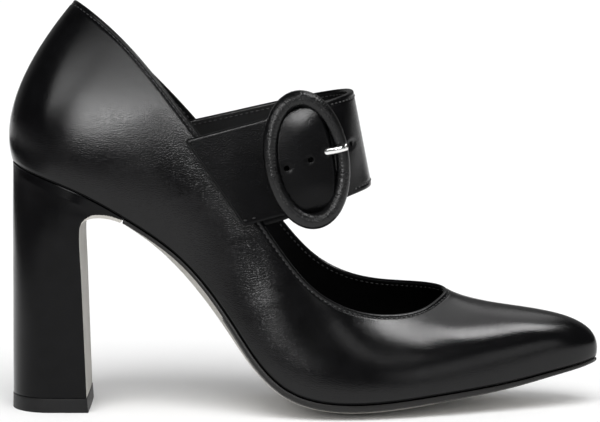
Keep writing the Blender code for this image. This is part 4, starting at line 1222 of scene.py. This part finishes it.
points, quads, parts = rounded_plate(strap_outside, strap_inside, STRAP_EDGE, STRAP_SQUARE)
centres = points[quads].mean(axis=1)
to_free_end = np.array([np.min(np.linalg.norm(strap_grid[0] - centre, axis=1)) for centre in centres])
outer_faces = (STRAP_ALONG - 1) * (STRAP_ROWS - 1)
# Faces at the free end take the dead-black edge paint, which also stands in as painted shade for the shadow
# line beside that end.
painted_shade_end_faces = to_free_end < STRAP_THICKNESS / 2 + FREE_END_REACH
painted_shade_end_faces[:outer_faces] = False
parts = np.where(painted_shade_end_faces, 2, np.where(parts == 2, 1, 0))
strap_mesh = piece_mesh("folded_strap", points, quads, [strap_leather, lining_leather, edge_paint_and_shade], parts)
cutters = []
for name, (run, across) in HOLES.items():
    centre, facing = strap_point(run, across)
    cutters.append(rod(name, centre - PUNCH_DEPTH * facing, centre + PUNCH_HEIGHT * facing, HOLE_RADIUS))
cutters.append(tube_mesh("prong_hole", blade_path, PRONG_RADIUS + PRONG_ROOM, broad=PRONG_HOLE_BROAD))
add_piece(punch(strap_mesh, cutters), "instep_strap", angle=45.0)

# %% [markdown]
# ## The buckle's short strap
# A short strap comes from inside the outer quarter, lies under the wide strap, wraps round the bar
# and returns. Only its lower edge and its rounded corner show. It has a slot for the prong.

# %% Buckle strap
CHAPE_THICKNESS = 1.4
CHAPE_COLUMNS = ("run", "side", "tilt", "low", "high")
CHAPE_PATH = {
    "root":         (-64.0, -26.2, 0.04, -22.2, 17.0),
    "quarter":      (-47.0, -27.4, 0.03, -22.2, 17.0),
    "reach":        (-33.0, -27.6, 0.0, -21.2, 17.0),
    "bar":          (-23.2, -27.5, 0.0, -16.5, 15.0),
}
CHAPE_RETURN = (-26.8, -30.9)
CHAPE_EDGE = 0.5
CHAPE_ROWS = 40
CHAPE_TRIM = 0.013       # share of its width that the rounded rim takes at each edge
REACH_STEPS = 60
WRAP_STEPS = 26
RETURN_STEPS = 8
SLOT_HALF = 3.0
SLOT_RUNS = (-28.5, -19.0)
SLOT_DEPTH = 8.0


def chape_line(share):
    """Middle line of the short strap at a share of its width: from its root round the bar and back."""
    run, side, tilt, low, high = (column(CHAPE_PATH, CHAPE_COLUMNS, name) for name in CHAPE_COLUMNS)
    across = low + share * (high - low)
    reach = even_steps(np.column_stack([run, side + tilt * across, across]), REACH_STEPS, 0.0)
    radius = BAR_RADIUS + GAP + CHAPE_THICKNESS / 2
    turn = np.radians(np.linspace(-90.0, 90.0, WRAP_STEPS))[1:]
    wrap = np.column_stack([BUCKLE_RUN + radius * np.cos(turn), BAR_SIDE - radius * np.sin(turn)])
    shares = np.linspace(0.0, 1.0, RETURN_STEPS)[1:, None]
    back = wrap[-1] + (np.array(CHAPE_RETURN) - wrap[-1]) * shares
    return np.vstack([reach, at_across(np.vstack([wrap, back]), across[-1])])


chape_shares = np.linspace(CHAPE_TRIM, 1.0 - CHAPE_TRIM, CHAPE_ROWS)
chape_grid = in_shoe([chape_line(share) for share in chape_shares]).swapaxes(0, 1)
chape_normals = grid_normals(chape_grid) * CHAPE_THICKNESS / 2
points, quads, parts = rounded_plate(chape_grid + chape_normals, chape_grid - chape_normals, CHAPE_EDGE)
chape_mesh = piece_mesh("buckle_strap_leather", points, quads, [strap_leather, lining_leather], parts == 2)
corners = [(run, BAR_SIDE + depth, PRONG_ACROSS + half) for run in SLOT_RUNS
           for depth in (-SLOT_DEPTH / 2, SLOT_DEPTH / 2) for half in (-SLOT_HALF, SLOT_HALF)]
box_faces = [(0, 1, 3, 2), (4, 6, 7, 5), (0, 4, 5, 1), (2, 3, 7, 6), (0, 2, 6, 4), (1, 5, 7, 3)]
chape_mesh = punch(chape_mesh, [piece_mesh("prong_slot", in_shoe(corners), box_faces, [])])
add_piece(chape_mesh, "buckle_strap", angle=45.0)

# %% [markdown]
# ## Stitches
# A row of stitches repeats one small shape along a line, which is what Geometry Nodes do best. The
# line is a mesh of edges, and each of its points carries the direction square to the leather. The
# tree makes a curve of it, divides it at the pitch of the stitches, puts a stretched ball on each
# point, turns it along the seam and up from the leather, and makes real geometry of the result.

# %% Stitch tree
def stitch_tree():
    """Node group that lays stitches along a line of edges."""
    tree = bpy.data.node_groups.new("stitch_row", "GeometryNodeTree")
    kinds = {"Seam": "Geometry", "Pitch": "Float", "Length": "Float", "Thickness": "Float",
             "Thread": "Material"}
    for name, kind in kinds.items():
        tree.interface.new_socket(name, in_out="INPUT", socket_type="NodeSocket" + kind)
    tree.interface.new_socket("Stitches", in_out="OUTPUT", socket_type="NodeSocketGeometry")

    def node(kind, settings=(), **inputs):
        return add_node(tree, kind, settings, **inputs)

    given = tree.nodes.new("NodeGroupInput").outputs
    seam = node("GeometryNodeMeshToCurve", Mesh=given["Seam"])
    points = node("GeometryNodeResampleCurve", [("mode", "LENGTH")],
                  Curve=seam.outputs["Curve"], Length=given["Pitch"])
    ball = node("GeometryNodeMeshUVSphere", Segments=8, Rings=5, Radius=0.5)
    size = node("ShaderNodeCombineXYZ", X=given["Length"], Y=given["Thickness"], Z=given["Thickness"])
    stitch = node("GeometryNodeTransform", Geometry=ball.outputs["Mesh"], Scale=size.outputs["Vector"])
    tangent = node("GeometryNodeInputTangent")
    up = node("GeometryNodeInputNamedAttribute", [("data_type", "FLOAT_VECTOR")], Name="leather_up")
    along = node("FunctionNodeAlignRotationToVector", [("axis", "X")], Vector=tangent.outputs["Tangent"])
    level = node("FunctionNodeAlignRotationToVector", [("axis", "Z"), ("pivot_axis", "X")],
                 Rotation=along.outputs["Rotation"], Vector=up.outputs["Attribute"])
    row = node("GeometryNodeInstanceOnPoints", Points=points.outputs["Curve"],
               Instance=stitch.outputs["Geometry"], Rotation=level.outputs["Rotation"])
    real = node("GeometryNodeRealizeInstances", Geometry=row.outputs["Instances"])
    smooth = node("GeometryNodeSetShadeSmooth", Geometry=real.outputs["Geometry"])
    dressed = node("GeometryNodeSetMaterial", Geometry=smooth.outputs["Geometry"], Material=given["Thread"])
    out = tree.nodes.new("NodeGroupOutput")
    tree.links.new(dressed.outputs["Geometry"], out.inputs["Stitches"])
    return tree


stitch_rows = stitch_tree()
STITCH_PITCH = 2.2
STITCH_LENGTH = 1.5
STITCH_THICKNESS = 0.62


def sew(name, lines):
    """One piece with a row of stitches along each line of (points, facings, closed)."""
    points = []
    facings = []
    edges = []
    for path, up, closed in lines:
        start = len(points)
        count = len(path)
        points += (np.asarray(path) * MM).tolist()
        facings += np.asarray(up).tolist()
        edges += [(start + k, start + (k + 1) % count) for k in range(count if closed else count - 1)]
    seam = bpy.data.meshes.new(name)
    seam.from_pydata(points, edges, [])
    seam.attributes.new("leather_up", "FLOAT_VECTOR", "POINT").data.foreach_set("vector", np.ravel(facings))
    holder = workpiece(seam, "_seam")
    modifier = holder.modifiers.new("stitches", "NODES")
    modifier.node_group = stitch_rows
    sizes = {"Pitch": STITCH_PITCH * MM, "Length": STITCH_LENGTH * MM, "Thickness": STITCH_THICKNESS * MM,
             "Thread": thread}
    for item in stitch_rows.interface.items_tree:
        if item.in_out == "INPUT" and item.name in sizes:
            modifier[item.identifier] = sizes[item.name]
    return add_piece(finished_mesh(holder), angle=80.0)

# %% [markdown]
# One row runs right round the topline, two millimetres below the fold, and shows on the lining too.
# The strap is sewn along both edges from the right rim of the buckle to its root. Its free end has
# no stitches, only a short tack at the lower corner.

# %% Sewing
STITCH_LIFT = 0.1        # of the thread's middle above the leather
LINING_LIFT = 0.05
TACK = slice(3, 14)      # columns of the strap that the short tack covers


def topline_seam(drop, inside):
    """Closed line on the leather or on the lining, at a drop below the topline."""
    row = int(np.argmin(np.abs(outer_drops[0] - drop)))
    facing = outer_normals[:, row]
    if inside:
        return outer[:, row] - (WALL + LINING_LIFT) * facing, -facing, True
    return shown[:, row] + STITCH_LIFT * facing, facing, True


def strap_seam(columns, row, inside):
    """Line along the strap, on its outer face or on its lining."""
    facing = strap_normals[columns, row]
    if inside:
        return strap_inside[columns, row] - STITCH_LIFT * facing, -facing, False
    return strap_outside[columns, row] + STITCH_LIFT * facing, facing, False


sew("topline_stitches", [topline_seam(STITCH_DROP, inside) for inside in (False, True)])

seam_across = STRAP_HALF_WIDTH - SEAM_INSET
seam_rows = [int(np.argmin(np.abs(strap_widths - edge * seam_across))) for edge in (-1, 1)]
seam_columns = slice(int((SEWN_FROM + SEWN_EASE) * STRAP_ALONG), None)
strap_lines = [strap_seam(seam_columns, row, inside) for row in seam_rows for inside in (False, True)]
strap_lines.append(strap_seam(TACK, seam_rows[0], False))
sew("strap_stitches", strap_lines)

# %% [markdown]
# ## The studio
# Black gloss shows its surroundings, so each gleam on the leather is the mirror image of a softbox.
# Each box stands where the leather would mirror it to the camera: those on the left make the broad
# gleam on the quarter, those overhead make the band along the vamp and the thin light on the far edges,
# and dim cards in front and on the right fill the side of the toe. They are kept out of diffuse light,
# so that they can be placed for the gleams alone. A wide sun from the front lights the floor and makes
# the soft shadow, and reflections don't show it.

# %% Lights
def direction(azimuth, elevation):
    """Direction from the shoe: azimuth 0 is towards the camera and 90 towards the toe."""
    a = math.radians(azimuth)
    e = math.radians(elevation)
    return Vector((math.sin(a) * math.cos(e), -math.cos(a) * math.cos(e), math.sin(e)))


def add_light(name, kind, towards, distance=0.0, radiance=1.0, size=(1.0, 1.0), roll=0.0):
    """Light that looks at the shoe. A softbox takes its brightness, and a sun its light on the floor."""
    data = bpy.data.lights.new(name, kind)
    if kind == "SUN":
        data.energy = radiance
        data.angle = math.radians(size[0])
    else:
        data.shape = "RECTANGLE"
        data.size, data.size_y = size
        data.energy = radiance * math.pi * size[0] * size[1]
    lamp = bpy.data.objects.new(name, data)
    lamp.location = LOOK_AT + towards * distance
    lamp.rotation_mode = "QUATERNION"
    own_turn = Quaternion((0.0, 0.0, 1.0), math.radians(roll))
    lamp.rotation_quaternion = towards.to_track_quat("Z", "Y") @ own_turn
    lamp.visible_camera = False
    bpy.context.scene.collection.objects.link(lamp)
    return lamp


def upright(name, centre, radiance, size, roll=0.0):
    """Softbox that stands at a place and looks at the shoe."""
    offset = Vector(centre) - LOOK_AT
    return add_light(name, "AREA", offset.normalized(), offset.length, radiance, size, roll)


def overhead(name, centre, radiance, size):
    """Level softbox above the shoe, with its size along X and Y."""
    lamp = upright(name, centre, radiance, size)
    lamp.rotation_quaternion = (1.0, 0.0, 0.0, 0.0)
    return lamp


daylight = add_light("daylight", "SUN", direction(0.0, 56.0), 2.0, 1.9, (42.0, 42.0))
daylight.visible_glossy = False
# A box has its place or its direction and distance, then its brightness, size in metres and roll.
panels = [
    upright("left_box", (-0.20, -0.72, 0.41), 2.6, (0.24, 0.42)),
    upright("left_strip", (-0.25, -0.70, 0.264), 9.5, (0.14, 0.30), 55.0),
    upright("low_strip", (-0.165, -0.70, 0.205), 5.5, (0.10, 0.12)),
    add_light("left_card", "AREA", direction(-45.0, 27.0), 0.90, 4.2, (0.45, 0.24)),
    add_light("front_card", "AREA", direction(26.0, 33.0), 1.0, 1.4, (0.35, 0.22)),
    add_light("right_card", "AREA", direction(42.0, 8.0), 1.0, 1.1, (0.40, 0.28)),
    overhead("vamp_box", (0.43, -0.13, 0.80), 14.5, (0.25, 0.40)),
    overhead("rear_box", (0.30, 0.45, 0.80), 1.5, (0.30, 0.80)),
]
print("softboxes:", ", ".join(panel.name for panel in panels))

# %% [markdown]
# The pad and the ring need gleams of their own, which would be too strong on the rest of the shoe.
# In a studio, black flags would be put round a small light. Here light linking does the same: a box
# lights only the pieces in its own collection.

# %% Lights of the buckle
PAD_TOP = (-26.0, 17.0)  # run and across of the place that both boxes look at


def light_only(lamp, *names):
    """Points a softbox at the buckle and keeps it to some pieces."""
    lamp.location += Vector(strap_point(*PAD_TOP)[0]) * MM - LOOK_AT
    receivers = bpy.data.collections.new(lamp.name + "_lights")
    for name in names:
        receivers.objects.link(bpy.data.objects[name])
    lamp.light_linking.receiver_collection = receivers
    panels.append(lamp)


pad_box = add_light("pad_box", "AREA", direction(-4.0, 31.0), 0.9, 50.0, (0.24, 0.22))
light_only(pad_box, "folded_strap")
ring_box = add_light("ring_box", "AREA", direction(2.0, 16.0), 0.9, 1.9, (0.60, 0.42))
light_only(ring_box, "leather_ring", "ring_edge_bead")
for panel in panels:
    panel.visible_diffuse = False
print("lights of the buckle:", pad_box.name, ring_box.name)

# %% [markdown]
# The floor is plain white paper. The lower half of the leather would mirror it as a grey veil, so two
# flags of black felt lie on it, in front of the shoe and to its left. Only reflections see them: the
# camera and the diffuse light pass through, and they throw no shadow.

# %% Floor and flags
FLOOR_HALF = 30.0        # metres
FLOOR_Z = -2e-5          # just below the sole and the heel
FLAG_Z = 5e-4
FLAG_FAR = 2.0           # how far the flags reach
FLAG_FRONT = -0.42       # Y where the front flag begins
FLAG_LEFT = -0.45        # X where the left flag begins


def stage_sheet(name, x_low, x_high, y_low, y_high, z, material):
    """Flat sheet of the studio."""
    mesh = bpy.data.meshes.new(name)
    corners = [(x_low, y_low, z), (x_high, y_low, z), (x_high, y_high, z), (x_low, y_high, z)]
    mesh.from_pydata(corners, [], [(0, 1, 2, 3)])
    mesh.materials.append(material)
    sheet = bpy.data.objects.new(name, mesh)
    bpy.context.scene.collection.objects.link(sheet)
    return sheet


paper = plain_finish("floor_paper", (0.93, 0.93, 0.93), (0.95, 0.95, 0.95), 0.9, 0.1, 40.0, 0.01)
felt = plain_finish("black_felt", (0.004, 0.004, 0.004), (0.006, 0.006, 0.006), 0.9, 0.1, 400.0, 0.01)
floor = stage_sheet("floor", -FLOOR_HALF, FLOOR_HALF, -FLOOR_HALF, FLOOR_HALF, FLOOR_Z, paper)
flags = [stage_sheet("front_flag", -FLAG_FAR, FLAG_FAR, -FLAG_FAR, FLAG_FRONT, FLAG_Z, felt),
         stage_sheet("left_flag", -FLAG_FAR, FLAG_LEFT, FLAG_FRONT, FLAG_FAR / 2, FLAG_Z, felt)]
for flag in flags:
    flag.visible_camera = False
    flag.visible_diffuse = False
    flag.visible_shadow = False
print("stage:", floor.name, ", ".join(flag.name for flag in flags))

# %% [markdown]
# The room itself is a world shader, and it asks what kind of ray it meets. Reflections see a dark room
# with a dim wall at the back, which is a thin sheen on the far edges. Diffuse light comes from all round,
# more from the front, and softens the shadow. The camera sees plain white beyond the floor.

# %% Room
WALL_STARTS = (0.4, 0.8)        # depth of a direction, from -1 in front to 1 behind, where the wall begins
WALL_TONES = (0.03, 0.20)       # brightness in front of that and behind it
AIR_TURNS = (-0.25, 0.25)       # depth where the diffuse light changes
AIR_TONES = (0.95, 0.4)

world = bpy.data.worlds.new("studio")
bpy.context.scene.world = world
world.use_nodes = True
room = world.node_tree
background = room.nodes["Background"]


def blend(share, low, high):
    """Mix of two numbers or sockets by a share from 0 to 1."""
    return add_node(room, "ShaderNodeMapRange", Value=share, To_Min=low, To_Max=high).outputs["Result"]


towards = add_node(room, "ShaderNodeTexCoord").outputs["Generated"]
depth = add_node(room, "ShaderNodeSeparateXYZ", Vector=towards).outputs["Y"]
ray = add_node(room, "ShaderNodeLightPath").outputs
mirrored = spread(room, depth, *WALL_TONES, *WALL_STARTS)
diffuse = spread(room, depth, *AIR_TONES, *AIR_TURNS)
lit = blend(ray["Is Diffuse Ray"], mirrored, diffuse)
feed(room, background.inputs["Strength"], blend(ray["Is Camera Ray"], lit, 1.0))
background.inputs["Color"].default_value = (1.0, 1.0, 1.0, 1.0)
bpy.context.scene.view_settings.view_transform = "Standard"
print("room has", len(room.nodes), "nodes")
